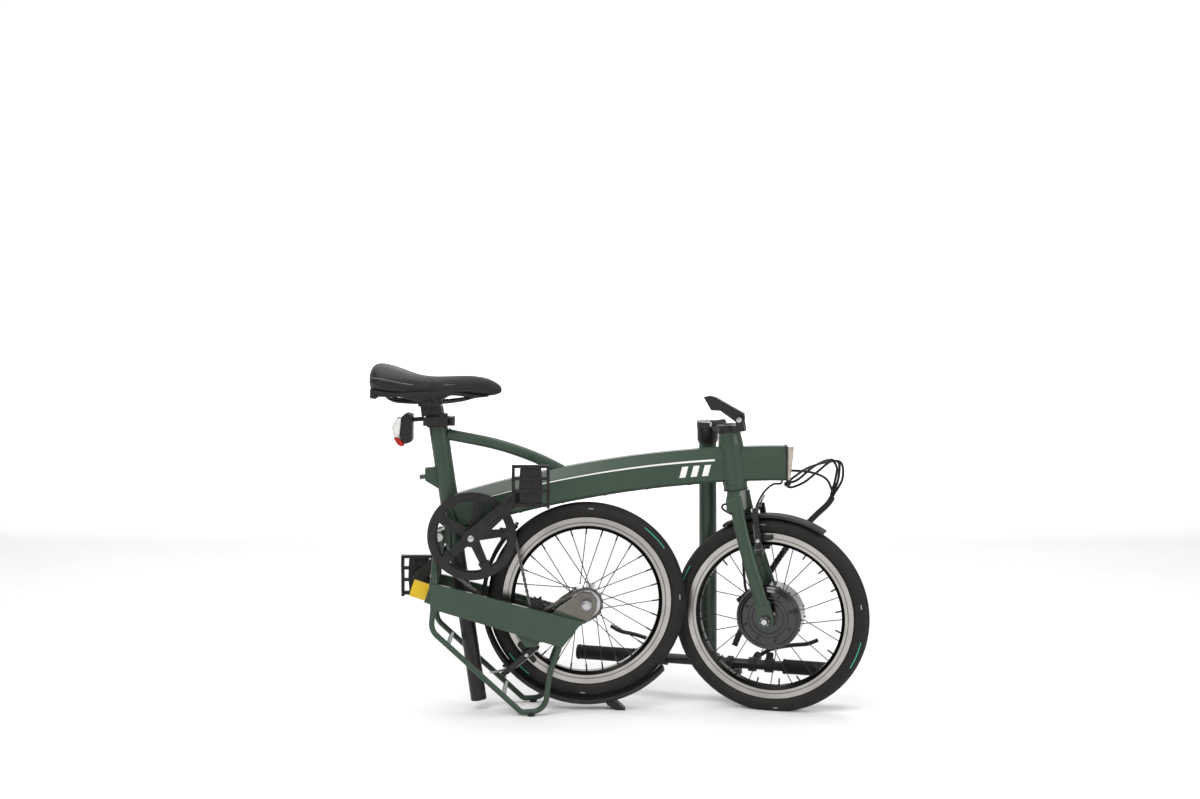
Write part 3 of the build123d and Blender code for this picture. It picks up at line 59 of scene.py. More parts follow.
JOINT = {joint["name"]: joint for joint in frame["joints"]}
REAR_AXLE = Vector(JOINT["rear_wheel_spin"]["pos_m"])
SHIFT = REAR_AXLE - Vector((-0.0284, 0, 0.242))
FRONT_AXLE = Vector(JOINT["front_wheel_spin"]["pos_m"])
BB = Vector(JOINT["crank_spin"]["pos_m"])


def mm(x, y=None, z=None):
    """A point of the bicycle's own frame, in millimetres, as a point of the row frame."""
    if y is None:
        x, y, z = x
    return SHIFT + Vector((x, y, z)) * 0.001


# the fork's own directions as it stands, and the handlepost's as it hangs
STEER_UP = Vector(JOINT["steering"]["axis"]).normalized()
STEER_LEFT = Vector(JOINT["front_wheel_spin"]["axis"]).normalized()
STEER_AHEAD = STEER_LEFT.cross(STEER_UP).normalized()
STEER = Matrix.Translation(Vector(JOINT["steering"]["pos_m"])) @ Matrix(
    (STEER_AHEAD, STEER_LEFT, STEER_UP)
).transposed().to_4x4()
FOLD_POINT = Matrix.Translation(Vector(JOINT["handlepost_fold"]["pos_m"]))
FOLD = FOLD_POINT @ Matrix.Rotation(radians(-174.3), 4, Vector(JOINT["handlepost_fold"]["axis"]))
POST = FOLD @ FOLD_POINT.inverted() @ STEER
AXLE_UP = -(STEER.inverted() @ FRONT_AXLE).z * 1000


def at_steer(x, y, z):
    """A point in the fork's directions, in millimetres from the post hinge."""
    return STEER @ (Vector((x, y, z)) * 0.001)


def at_post(x, y, z):
    """A point of the handlepost as if in riding position, in millimetres from the post hinge."""
    return POST @ (Vector((x, y, z)) * 0.001)


POST_AHEAD = (POST.to_3x3() @ Vector((1, 0, 0))).normalized()
POST_LEFT = (POST.to_3x3() @ Vector((0, 1, 0))).normalized()
POST_UP = (POST.to_3x3() @ Vector((0, 0, 1))).normalized()


# ---- materials ----------------------------------------------------------------------------------

def node(tree, kind, inputs=None, **settings):
    """A new shader node, with its settings made and its inputs set or linked."""
    made = tree.nodes.new(kind)
    for name, value in settings.items():
        setattr(made, name, value)
    for key, value in (inputs or {}).items():
        if isinstance(value, bpy.types.NodeSocket):
            tree.links.new(value, made.inputs[key])
        else:
            made.inputs[key].default_value = value
    return made


def calculated(tree, operation, *values, clamp=False):
    made = node(tree, "ShaderNodeMath", dict(enumerate(values)), operation=operation, use_clamp=clamp)
    return made.outputs[0]


def vector_result(tree, operation, *values, output="Vector"):
    return node(tree, "ShaderNodeVectorMath", dict(enumerate(values)), operation=operation).outputs[output]


def scaled(tree, vector, amount):
    return node(tree, "ShaderNodeVectorMath", {0: vector, "Scale": amount}, operation="SCALE").outputs[0]


def ranged(tree, value, low, high, to_low, to_high):
    """A value carried from one range to another, and held at its ends."""
    inputs = {"Value": value, 1: low, 2: high, 3: to_low, 4: to_high}
    return node(tree, "ShaderNodeMapRange", inputs).outputs[0]


def noise(tree, place, scale, detail, roughness=0.5):
    inputs = {"Vector": place, "Scale": scale, "Detail": detail, "Roughness": roughness}
    return node(tree, "ShaderNodeTexNoise", inputs).outputs["Fac"]


def mixed(tree, factor, first, second):
    return node(tree, "ShaderNodeMix", {"Factor": factor, 6: first, 7: second}, data_type="RGBA").outputs[2]


DUST_COLOUR = (0.32, 0.31, 0.29, 1)


def dusted(tree, colour, place, dust):
    """A trace of dust on the faces that look up."""
    facing = node(tree, "ShaderNodeNewGeometry").outputs["Normal"]
    up = node(tree, "ShaderNodeSeparateXYZ", {0: facing}).outputs["Z"]
    amount = calculated(tree, "MULTIPLY", up, noise(tree, place, 35.0, 8.0), clamp=True)
    return mixed(tree, calculated(tree, "MULTIPLY", amount, dust), colour, DUST_COLOUR)


def finish_material(
    name, low, high, rough=(0.4, 0.55), metallic=0.0, scale=60.0, bump=0.1, bump_scale=900.0,
    distance=0.0002, dust=0.0, coat=0.0, sheen=0.0, transmission=0.0, extra=None,
):
    """A surface whose colour, roughness and relief vary in fine noise. The extra returns a changed colour
    and a mask of bare metal, or None."""
    material = bpy.data.materials.new(name)
    material.use_nodes = True
    tree = material.node_tree
    shader = tree.nodes["Principled BSDF"]
    place = node(tree, "ShaderNodeTexCoord").outputs["Object"]
    broad = noise(tree, place, scale, 6.0, 0.6)
    ramp = node(tree, "ShaderNodeValToRGB", {"Fac": broad})
    for stop, position, shade in zip(ramp.color_ramp.elements, (0.3, 0.72), (low, high)):
        stop.position = position
        stop.color = (*shade, 1)
    colour = ramp.outputs[0]
    if dust:
        colour = dusted(tree, colour, place, dust)
    metal = None
    if extra:
        colour, metal = extra(tree, colour, place)
    if metal:
        tree.links.new(metal, shader.inputs["Metallic"])
    else:
        shader.inputs["Metallic"].default_value = metallic
    tree.links.new(colour, shader.inputs["Base Color"])
    tree.links.new(ranged(tree, broad, 0.0, 1.0, *rough), shader.inputs["Roughness"])
    fine = noise(tree, place, bump_scale, 4.0)
    relief = node(tree, "ShaderNodeBump", {"Height": fine, "Strength": bump, "Distance": distance})
    tree.links.new(relief.outputs[0], shader.inputs["Normal"])
    shader.inputs["Specular IOR Level"].default_value = 0.5 if metallic or transmission else 0.3
    shader.inputs["Coat Weight"].default_value = coat
    shader.inputs["Coat Roughness"].default_value = 0.18
    shader.inputs["Sheen Weight"].default_value = sheen
    shader.inputs["Transmission Weight"].default_value = transmission
    return material


RIM_DARK_EDGE = 0.1615
# radius of the wear groove, painted as a darker line of shade
RIM_SHADED_GROOVE = 0.1685
RIM_RINGS = 2300.0


def turned_rings(centre, across):
    """Fine turned rings about a wheel's axle, a wear groove drawn only as a line of painted shade, and a dark
    inner edge.
    """
    def extra(tree, colour, place):
        offset = vector_result(tree, "SUBTRACT", place, centre)
        along = vector_result(tree, "DOT_PRODUCT", offset, across, output="Value")
        flat = vector_result(tree, "SUBTRACT", offset, scaled(tree, across, along))
        radius = vector_result(tree, "LENGTH", flat, output="Value")
        wave = calculated(tree, "SINE", calculated(tree, "MULTIPLY", radius, RIM_RINGS))
        wave = ranged(tree, wave, -1.0, 1.0, 0.80, 1.0)
        inner = ranged(tree, radius, RIM_DARK_EDGE, RIM_DARK_EDGE + 0.0007, 0.03, 1.0)
        # painted shade: the wear groove is not cut into the rim, it is only a darker line in the rim's colour
        groove = calculated(tree, "ABSOLUTE", calculated(tree, "SUBTRACT", radius, RIM_SHADED_GROOVE))
        groove = ranged(tree, groove, 0.0008, 0.0016, 0.35, 1.0)
        shade = calculated(tree, "MULTIPLY", calculated(tree, "MULTIPLY", wave, inner), groove)
        return scaled(tree, colour, shade), None
    return extra


def beyond(point, direction, other, metal, x_limit=None):
    """Changes a colour on the far side of a plane, ahead of a limit if there is one. With metal, that side
    also turns metallic."""
    def extra(tree, colour, place):
        offset = vector_result(tree, "SUBTRACT", place, point)
        along = vector_result(tree, "DOT_PRODUCT", offset, direction, output="Value")
        mask = ranged(tree, along, 0.0, 0.0005, 0.0, 1.0)
        if x_limit:
            x = node(tree, "ShaderNodeSeparateXYZ", {0: place}).outputs["X"]
            ahead = ranged(tree, x, x_limit, x_limit + 0.0005, 0.0, 1.0)
            mask = calculated(tree, "MULTIPLY", mask, ahead)
        grain = ranged(tree, noise(tree, place, 240.0, 5.0), 0.3, 0.7, 0.8, 1.15)
        return mixed(tree, mask, colour, scaled(tree, other, grain)), mask if metal else None
    return extra


PAINT = dict(
    low=(0.026, 0.047, 0.030), high=(0.034, 0.060, 0.038), rough=(0.34, 0.46), scale=9.0, bump=0.12,
    bump_scale=700.0, dust=0.02, coat=0.25,
)
RIM = dict(
    low=(0.40, 0.385, 0.36), high=(0.54, 0.52, 0.49), rough=(0.20, 0.30), metallic=1.0, scale=18, bump=0.03,
)
LENS = dict(scale=90, bump=0.2, bump_scale=300)
DROPOUT_EDGE = mm(-104, 0, 235)
DROPOUT_UP = Vector((0.345, 0, 0.939))
DROPOUT_START = mm(-112, 0, 0).x
DROPOUT_METAL = Vector((0.17, 0.16, 0.14))
POST_BLACK = Vector((0.015, 0.015, 0.016))
POST_BLACK_LENGTH = 46
FINISHES = {
    "frame_green": PAINT,
    "rear_frame_paint": dict(
        PAINT, extra=beyond(DROPOUT_EDGE, DROPOUT_UP, DROPOUT_METAL, True, DROPOUT_START)),
    "post_paint": dict(
        PAINT, extra=beyond(at_post(0, 0, POST_BLACK_LENGTH), -POST_UP, POST_BLACK, False)),
    "rear_rim": dict(RIM, extra=turned_rings(REAR_AXLE, Vector((0, 1, 0)))),
    "front_rim": dict(RIM, extra=turned_rings(FRONT_AXLE, STEER_LEFT)),
    "black_metal": dict(
        low=(0.0065, 0.0062, 0.0062), high=(0.015, 0.0145, 0.0145), rough=(0.36, 0.5), metallic=0.25,
        scale=80, bump=0.16, bump_scale=1500, dust=0.03),
    "motor_gloss": dict(
        low=(0.004, 0.004, 0.004), high=(0.008, 0.0078, 0.0078), rough=(0.14, 0.24), metallic=0.1, bump=0.06,
        bump_scale=1200, dust=0.01, coat=0.5),
    "black_plastic": dict(
        low=(0.008, 0.0078, 0.0078), high=(0.018, 0.0175, 0.0175), rough=(0.5, 0.66), scale=120, bump=0.3,
        bump_scale=2200, dust=0.03),
    "tyre": dict(
        low=(0.0075, 0.0068, 0.0064), high=(0.017, 0.0155, 0.0145), rough=(0.66, 0.86), scale=50, bump=0.4,
        bump_scale=1300, dust=0.05),
    "cable_black": dict(
        low=(0.007, 0.0068, 0.0068), high=(0.015, 0.0145, 0.0145), rough=(0.35, 0.5), scale=90,
        bump_scale=1800),
    "grip_rubber": dict(
        low=(0.011, 0.011, 0.012), high=(0.022, 0.022, 0.023), rough=(0.66, 0.85), scale=70, bump=0.4,
        bump_scale=2600, dust=0.02),
    "saddle_cover": dict(
        low=(0.0075, 0.0068, 0.0064), high=(0.018, 0.0165, 0.016), rough=(0.42, 0.58), scale=45, bump=0.55,
        bump_scale=1700, distance=0.0003, dust=0.03, sheen=0.05),
    "bright_steel": dict(
        low=(0.42, 0.42, 0.43), high=(0.6, 0.6, 0.61), rough=(0.2, 0.38), metallic=1.0, scale=300,
        bump=0.08),
    "chain_steel": dict(
        low=(0.07, 0.065, 0.06), high=(0.16, 0.15, 0.14), rough=(0.28, 0.42), metallic=1.0, scale=400),
    "alloy": dict(
        low=(0.42, 0.42, 0.43), high=(0.56, 0.56, 0.57), rough=(0.3, 0.45), metallic=1.0, scale=150),
    "winding_iron": dict(low=(0.18, 0.13, 0.09), high=(0.3, 0.22, 0.15), rough=(0.4, 0.6), metallic=0.8),
    "battery_wrap": dict(low=(0.05, 0.06, 0.2), high=(0.08, 0.1, 0.3), rough=(0.3, 0.5)),
    "suspension_yellow": dict(
        low=(0.66, 0.42, 0.012), high=(0.80, 0.54, 0.02), scale=40, bump=0.15, dust=0.02),
    "lamp_lens": dict(
        LENS, low=(0.75, 0.74, 0.70), high=(0.92, 0.92, 0.9), rough=(0.05, 0.12), transmission=0.55),
    "headlight_glass": dict(
        LENS, low=(0.42, 0.35, 0.30), high=(0.62, 0.56, 0.50), rough=(0.06, 0.14), transmission=0.35),
    "red_lens": dict(
        LENS, low=(0.35, 0.01, 0.01), high=(0.5, 0.02, 0.015), rough=(0.1, 0.2), transmission=0.2),
    "white_paint": dict(low=(0.72, 0.72, 0.70), high=(0.82, 0.82, 0.80), rough=(0.38, 0.5)),
    "mint_stripe": dict(low=(0.03, 0.35, 0.20), high=(0.05, 0.45, 0.27), rough=(0.5, 0.6)),
    "grey_stripe": dict(low=(0.30, 0.30, 0.30), high=(0.42, 0.42, 0.42), rough=(0.4, 0.5)),
    "screen": dict(
        low=(0.008, 0.010, 0.012), high=(0.014, 0.016, 0.020), rough=(0.06, 0.12), bump=0.03, coat=0.8),
}
MATS = {name: finish_material(name, **settings) for name, settings in FINISHES.items()}
MATERIAL_OF = {part["node"]: part["material_slot"] for part in frame["record"]["subparts"]}
MATERIAL_OF.update(
    rear_rim="rear_rim", front_rim="front_rim", rear_frame="rear_frame_paint", handlepost="post_paint",
    headlight_lens="headlight_glass", motor_shell="motor_gloss", rear_spokes="black_metal",
    front_spokes="black_metal",
)
for name, cad in frame["nodes"].items():
    for socket in cad.material_slots:
        socket.material = MATS[MATERIAL_OF[name]]

SLOT_NAMES = {material["slot"] for material in frame["record"]["materials"]}


# ---- mesh helpers -------------------------------------------------------------------------------

def piece(name, body, material, verts, faces, smooth=True, bevel=0.0, slot=None, subdivide=0):
    """A new mesh in the row frame, with its material, riding on a CAD body."""
    data = bpy.data.meshes.new(name)
    data.from_pydata([tuple(v) for v in verts], [], faces)
    mesh = bmesh.new()
    mesh.from_mesh(data)
    bmesh.ops.recalc_face_normals(mesh, faces=mesh.faces)
    mesh.to_mesh(data)
    mesh.free()
    obj = bpy.data.objects.new(name, data)
    bpy.context.scene.collection.objects.link(obj)
    data.materials.append(MATS[material])
    if smooth:
        data.shade_smooth()
    if bevel:
        change = obj.modifiers.new("bevel", "BEVEL")
        change.width = bevel
        change.segments = 2
        change.limit_method = "ANGLE"
        change.angle_limit = radians(35)
    if subdivide:
        change = obj.modifiers.new("smooth", "SUBSURF")
        change.levels = subdivide
        change.render_levels = subdivide
    if body:
        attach(obj, body)
    if slot or material in SLOT_NAMES:
        slot or material
    return obj


class Mesh:
    """Collects vertices and faces of one piece."""

    def __init__(self):
        self.verts = []
        self.faces = []

    def add(self, verts, faces):
        start = len(self.verts)
        self.verts += verts
        self.faces += [[start + i for i in face] for face in faces]

    def prism(self, loop, lift):
        """A closed outline raised by a vector."""
        count = len(loop)
        verts = [Vector(p) for p in loop] + [Vector(p) + lift for p in loop]
        sides = [[i, (i + 1) % count, count + (i + 1) % count, count + i] for i in range(count)]
        self.add(verts, sides + [list(range(count))[::-1], list(range(count, 2 * count))])

    def lathe(self, profile, centre, axis, across, steps, closed=True, wobble=None):
        """A turned shape: profile points are (radius, distance along the axis)."""
        axis = Vector(axis).normalized()
        across = Vector(across).normalized()
        side = axis.cross(across)
        count = len(profile)
        verts = []
        for step in range(steps):
            angle = 2 * pi * step / steps
            out = across * cos(angle) + side * sin(angle)
            for number, (radius, along) in enumerate(profile):
                grow = wobble(step, number) if wobble else 0.0
                verts.append(centre + out * (radius + grow) + axis * along)
        faces = []
        last = count if closed else count - 1
        for step in range(steps):
            after = (step + 1) % steps
            for i in range(last):
                j = (i + 1) % count
                faces.append([step * count + i, step * count + j, after * count + j, after * count + i])
        self.add(verts, faces)

    def disc(self, centre, axis, radius, height, sides=6, dome=0.0, turn=0.0):
        """A bolt head or nut: a short prism standing on its centre, with a small chamfer."""
        axis = Vector(axis).normalized()
        across = axis.orthogonal().normalized()
        side = axis.cross(across)
        rings = [(radius, 0.0), (radius, height * 0.75), (radius * 0.86, height)]
        verts = []
        for size, up in rings:
            for i in range(sides):
                angle = 2 * pi * i / sides + turn
                verts.append(centre + (across * cos(angle) + side * sin(angle)) * size + axis * up)
        verts.append(centre + axis * (height + dome))
        faces = [list(range(sides))[::-1]]
        for ring in range(2):
            for i in range(sides):
                j = (i + 1) % sides
                above = (ring + 1) * sides
                faces.append([ring * sides + i, ring * sides + j, above + j, above + i])
        faces += [[2 * sides + i, 2 * sides + (i + 1) % sides, 3 * sides] for i in range(sides)]
        self.add(verts, faces)

    def tube(self, points, radius, sides=10, taper=None, wobble=None):
        """A round tube through points."""
        frames = []
        normal = (points[1] - points[0]).orthogonal().normalized()
        for i, point in enumerate(points):
            ahead = points[min(i + 1, len(points) - 1)] - points[max(i - 1, 0)]
            ahead.normalize()
            normal = (normal - ahead * normal.dot(ahead)).normalized()
            frames.append((point, normal.copy(), ahead.cross(normal)))
        verts = []
        for i, (point, across, side) in enumerate(frames):
            size = radius * (taper(i / (len(points) - 1)) if taper else 1.0)
            for k in range(sides):
                angle = 2 * pi * k / sides
                grow = wobble(i, k) if wobble else 0.0
                verts.append(point + (across * cos(angle) + side * sin(angle)) * (size + grow))
        faces = []
        for i in range(len(points) - 1):
            for k in range(sides):
                j = (k + 1) % sides
                faces.append([i * sides + k, i * sides + j, (i + 1) * sides + j, (i + 1) * sides + k])
        last = (len(points) - 1) * sides
        faces += [list(range(sides))[::-1], [last + k for k in range(sides)]]
        self.add(verts, faces)

    def make(self, name, body, material, **options):
        return piece(name, body, material, self.verts, self.faces, **options)


def strip_faces(count):
    """Faces of a thin closed strip whose cross-sections are four points: two below and two above."""
    last = 4 * count
    faces = [[0, 1, 3, 2], [last, last + 2, last + 3, last + 1]]
    for i in range(count):
        a, b = 4 * i, 4 * i + 4
        faces += [[a, a + 2, b + 2, b], [a + 1, b + 1, b + 3, a + 3]]
        faces += [[a, b, b + 1, a + 1], [a + 2, a + 3, b + 3, b + 2]]
    return faces


def curve_through(points, count=60):
    """Points spaced along a smooth curve through the given points."""
    points = [Vector(p) for p in points]
    padded = [points[0] * 2 - points[1]] + points + [points[-1] * 2 - points[-2]]
    spans = len(points) - 1
    result = []
    for step in range(count + 1):
        place = step / count * spans
        i = min(int(place), spans - 1)
        t = place - i
        a, b, c, d = padded[i:i + 4]
        square = (2 * a - 5 * b + 4 * c - d) * t ** 2
        cube = (3 * b - a - 3 * c + d) * t ** 3
        result.append(0.5 * ((2 * b) + (c - a) * t + square + cube))
    return result


Y = Vector((0, 1, 0))
X = Vector((1, 0, 0))
WHEELS = {
    "rear": (REAR_AXLE, Y, X, "rear_wheel"),
    "front": (FRONT_AXLE, STEER_LEFT, STEER_AHEAD, "front_wheel"),
}


def around(wheel, angle, radius, along):
    """A point of a wheel: angle from forward up, radius and distance to the left, in millimetres."""
    centre, axis, across, _ = WHEELS[wheel]
    up = across.cross(axis)
    out = across * cos(angle) + up * sin(angle)
    return centre + out * radius * 0.001 + axis * along * 0.001


# ---- tyres --------------------------------------------------------------------------------------

TYRE_CENTRE = 193
TYRE_SECTION = 18.45
STRIPE_LENGTH = 0.31
STRIPE_AT = {"rear": 0.60, "front": -0.64}


def tyre(wheel):
    """A tyre with a centre ridge, side blocks and grooves cut across its shoulders."""
    centre, axis, across, body = WHEELS[wheel]
    angles = [radians(a) for a in range(-122, 123, 6)]
    profile = [(TYRE_CENTRE + TYRE_SECTION * cos(a), TYRE_SECTION * sin(a)) for a in angles]
    profile = [(radius * 0.001, along * 0.001) for radius, along in profile]
    inner = [(0.1803, 0.0102), (0.1795, 0.0), (0.1803, -0.0102)]
    steps = 432

    def groove(step, number):
        if number >= len(angles):
            return 0.0
        lean = abs(angles[number])
        phase = (step + int(lean * 9)) % 6
        if 0.42 < lean < 0.50:
            return -0.0009
        if lean <= 0.42:
            return -0.0008 if lean > 0.12 and (step + int(lean * 14)) % 6 == 0 else 0.0
        if lean < 1.0:
            return -0.0010 if phase in (0, 1) else 0.0
        if 1.24 < lean < 1.32:
            return 0.0004
        return 0.0

    mesh = Mesh()
    mesh.lathe(profile + inner, centre, axis, across, steps, wobble=groove)
    obj = mesh.make(f"{wheel}_tyre_tread", body, "tyre")
    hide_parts(f"{wheel}_tyre")
    bands = Mesh()
    for side in (-1, 1):
        for start in (STRIPE_AT[wheel], STRIPE_AT[wheel] + pi):
            patch_row(bands, wheel, side, start, start + STRIPE_LENGTH)
    bands.make(f"{wheel}_tyre_stripes", body, "mint_stripe")
    marks = Mesh()
    for side in (-1, 1):
        for start in (0.02, pi + 0.02, 1.5, pi + 1.5):
            patch_row(marks, wheel, side, start, start + 0.05, 1.18, 1.30)
    marks.make(f"{wheel}_tyre_marks", body, "grey_stripe")


def patch_row(mesh, wheel, side, start, end, low=1.10, high=1.20):
    """A thin band on a tyre's side wall between two angles round the wheel."""
    count = 24
    verts = []
    for i in range(count + 1):
        angle = start + (end - start) * i / count
        for lean in (low, high):
            for lift in (18.3, 18.62):
                verts.append(around(wheel, angle, TYRE_CENTRE + lift * cos(lean), side * lift * sin(lean)))
    mesh.add(verts, strip_faces(count))


for wheel in WHEELS:
    tyre(wheel)

# ---- spoke ends, hub details --------------------------------------------------------------------

def spoke_ends(wheel, count, hub_radius, flange_right, flange_left, crossing, rise):
    """Nipples at the rim and bent heads at the hub, on the line of each spoke."""
    nipples = Mesh()
    heads = Mesh()
    for number in range(count):
        on_left = number % 2
        trailing = number // 2 % 2
        rim_angle = 2 * pi * number / count
        hub_angle = rim_angle + radians(crossing if trailing else -crossing)
        flange = (flange_left if on_left else flange_right) + (rise if trailing else -rise)
        start = around(wheel, hub_angle, hub_radius, flange)
        end = around(wheel, rim_angle, 153.6, 1.5 if on_left else -1.5)
        line = (end - start).normalized()
        nipples.tube([end - line * 0.014, end - line * 0.012, end - line * 0.002, end], 0.0018, 8,
                     taper=lambda t: 0.7 if t < 0.1 else 1.0)
        outward = WHEELS[wheel][1] * (1 if rise * (1 if trailing else -1) > 0 else -1)
        heads.disc(start - line * 0.0005, outward, 0.0022, 0.0012, 10, 0.0005)
    body = WHEELS[wheel][3]
    nipples.make(f"{wheel}_nipples", body, "black_metal")
    heads.make(f"{wheel}_spoke_heads", body, "black_metal")


REAR_SPOKES = 28
FRONT_SPOKES = 20
spoke_ends("rear", REAR_SPOKES, 32.8, -24.5, 28.5, 720 / REAR_SPOKES, 1.3)
spoke_ends("front", FRONT_SPOKES, 70.4, -20.5, 20.5, 8.0, 1.3)

motor = Mesh()
for number in range(8):
    angle = 2 * pi * number / 8 + 0.2
    motor.disc(around("front", angle, 51, -29.6), -STEER_LEFT, 0.0030, 0.0022, 12, 0.0006)
    motor.disc(around("front", angle, 51, 29.4), STEER_LEFT, 0.0030, 0.0022, 12, 0.0006)
motor.make("motor_cover_screws", "front_wheel", "black_metal")
ribs = Mesh()
for side in (-1, 1):
    for radius, level in ((34, 30.6), (43, 30.0), (61.5, 26.2)):
        ring = [(-1.2, -1.5), (-1.2, 0.0), (-0.4, 0.7), (0.4, 0.7), (1.2, 0.0), (1.2, -1.5)]
        profile = [((radius + r) * 0.001, side * (level + a) * 0.001) for r, a in ring]
        ribs.lathe(profile, FRONT_AXLE, STEER_LEFT, STEER_AHEAD, 72)
ribs.make("motor_cover_ribs", "front_wheel", "motor_gloss", slot="black_metal")

nuts = Mesh()
for side in (-1, 1):
    nuts.disc(mm(-28.4, side * 66.4, 242), Y * side, 0.0098, 0.0062, 6, 0.0004)
nuts.make("rear_axle_nuts", "rear_frame", "bright_steel", bevel=0.0004, smooth=False)
nuts = Mesh()
for side in (-1, 1):
    nuts.disc(at_steer(45, side * 56.2, -AXLE_UP), STEER_LEFT * side, 0.0125, 0.0008, 24)
    nuts.disc(at_steer(45, side * 66.0, -AXLE_UP), STEER_LEFT * side, 0.0100, 0.0035, 6, 0.0004)
nuts.make("front_axle_nuts", "fork", "black_metal", bevel=0.0004, smooth=False)

# ---- chain, teeth and cranks --------------------------------------------------------------------

PITCH = 12.7
CHAIN_Y = -46.0


def pitch_radius(teeth):
    return PITCH / (2 * sin(pi / teeth))


UPPER = Vector(JOINT["upper_pulley_spin"]["pos_m"])
LOWER = Vector(JOINT["lower_pulley_spin"]["pos_m"])
CHAINRING_TEETH, SPROCKET_TEETH, PULLEY_TEETH = 44, 16, 8
CHAIN_WHEELS = [
    (BB, pitch_radius(CHAINRING_TEETH), 1), (LOWER, pitch_radius(PULLEY_TEETH), 1),
    (REAR_AXLE, pitch_radius(SPROCKET_TEETH), 1), (UPPER, pitch_radius(PULLEY_TEETH), -1),
]


def chain_path(step=1.0):
    """Points every millimetre or so along the chain's pitch line."""
    wheels = [((c - SHIFT).x * 1000, (c - SHIFT).z * 1000, r, s) for c, r, s in CHAIN_WHEELS]
    runs = []
    for i, (x1, z1, r1, s1) in enumerate(wheels):
        x2, z2, r2, s2 = wheels[(i + 1) % len(wheels)]
        length = ((x2 - x1) ** 2 + (z2 - z1) ** 2) ** 0.5
        heading = atan2(z2 - z1, x2 - x1) + asin((s1 * r1 - s2 * r2) / length)
        nx, nz = -sin(heading), cos(heading)
        runs.append(((x1 - s1 * nx * r1, z1 - s1 * nz * r1), (x2 - s2 * nx * r2, z2 - s2 * nz * r2)))
    path = []
    for i, (x, z, r, s) in enumerate(wheels):
        arrive, leave = runs[i - 1][1], runs[i][0]
        start = atan2(arrive[1] - z, arrive[0] - x)
        turn = (atan2(leave[1] - z, leave[0] - x) - start) * s % (2 * pi)
        count = max(3, int(turn * r / step))
        for k in range(count):
            angle = start + s * turn * k / count
            path.append((x + r * cos(angle), z + r * sin(angle)))
        run_x, run_z = runs[i][1][0] - leave[0], runs[i][1][1] - leave[1]
        count = int((run_x ** 2 + run_z ** 2) ** 0.5 / step)
        path += [(leave[0] + run_x * k / count, leave[1] + run_z * k / count) for k in range(count)]
    return path


def chain_pins():
    """Pin positions at equal steps near the chain's pitch, round the whole loop."""
    path = chain_path()
    lengths = [0.0]
    for i in range(len(path)):
        a, b = path[i], path[(i + 1) % len(path)]
        lengths.append(lengths[-1] + ((b[0] - a[0]) ** 2 + (b[1] - a[1]) ** 2) ** 0.5)
    count = int(round(lengths[-1] / PITCH / 2)) * 2
    pins = []
    place = 0
    for number in range(count):
        target = lengths[-1] * number / count
        while lengths[place + 1] < target:
            place += 1
        share = (target - lengths[place]) / (lengths[place + 1] - lengths[place])
        a, b = path[place], path[(place + 1) % len(path)]
        pins.append(Vector((a[0] + (b[0] - a[0]) * share, 0, a[1] + (b[1] - a[1]) * share)))
    return pins


def link_outline(a, b, radius, waist):
    """The rounded outline of a link plate between two pins, in the chain's plane."""
    along = (b - a).normalized()
    side = Vector((-along.z, 0, along.x))
    points = []
    for centre, way in ((b, 1), (a, -1)):
        for k in range(-3, 4):
            angle = k * pi / 6
            points.append(centre + along * way * cos(angle) * radius + side * way * sin(angle) * radius)
        points.append((a + b) / 2 + side * way * waist)
    return points


pins = chain_pins()
plates = Mesh()
rollers = Mesh()
for number, pin in enumerate(pins):
    after = pins[(number + 1) % len(pins)]
    offsets = (-3.55, 2.75) if number % 2 else (-2.5, 1.75)
    for offset in offsets:
        loop = [mm(p.x, CHAIN_Y + offset, p.z) for p in link_outline(pin, after, 3.4, 2.3)]
        plates.prism(loop, Y * 0.0008)
    rollers.tube([mm(pin.x, CHAIN_Y - 1.6, pin.z), mm(pin.x, CHAIN_Y + 1.6, pin.z)], 0.0030, 10)
    rollers.tube([mm(pin.x, CHAIN_Y - 3.9, pin.z), mm(pin.x, CHAIN_Y + 3.9, pin.z)], 0.0014, 8)
chain_plates = plates.make("chain_links", None, "chain_steel", smooth=False, slot="bright_steel")
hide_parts("chain")
chain_rollers = rollers.make("chain_rollers", None, "chain_steel", slot="bright_steel")
for chain_piece in (chain_plates, chain_rollers):
    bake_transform(chain_piece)


def toothed_ring(name, body, material, centre, teeth, inner, y_offset, half):
    """Teeth round a sprocket at the chain's pitch, on a thin ring."""
    pitch = pitch_radius(teeth)
    ring = Mesh()
    outline = []
    for number in range(teeth):
        start = 2 * pi * number / teeth
        for share, height in ((0.0, -3.9), (0.22, -2.6), (0.40, 1.6), (0.5, 2.6), (0.60, 1.6), (0.78, -2.6)):
            outline.append((start + share * 2 * pi / teeth, pitch + height))
    count = len(outline)
    verts = []
    for side in (-half, half):
        for angle, radius in outline:
            for size in (inner, radius):
                offset = Vector((cos(angle) * size, y_offset + side, sin(angle) * size))
                verts.append(centre + offset * 0.001)
    faces = []
    for i in range(count):
        j = (i + 1) % count
        a, b, c, d = 2 * i, 2 * j, 2 * count + 2 * i, 2 * count + 2 * j
        faces += [[a, b, b + 1, a + 1], [c, c + 1, d + 1, d]]
        faces += [[a + 1, b + 1, d + 1, c + 1], [a, c, d, b]]
    ring.add(verts, faces)
    return ring.make(name, body, material, smooth=False)


toothed_ring("chainring_teeth", "crankset", "black_metal", BB, CHAINRING_TEETH, 80.0, CHAIN_Y, 0.9)
toothed_ring("sprocket_teeth", "sprocket", "bright_steel", REAR_AXLE, SPROCKET_TEETH, 22.0, CHAIN_Y, 0.9)
for name, centre in (("upper_pulley", UPPER), ("lower_pulley", LOWER)):
    middle = Vector((centre.x, BB.y, centre.z))
    toothed_ring(f"{name}_teeth", name, "black_plastic", middle, PULLEY_TEETH, 10.0, CHAIN_Y, 1.0)

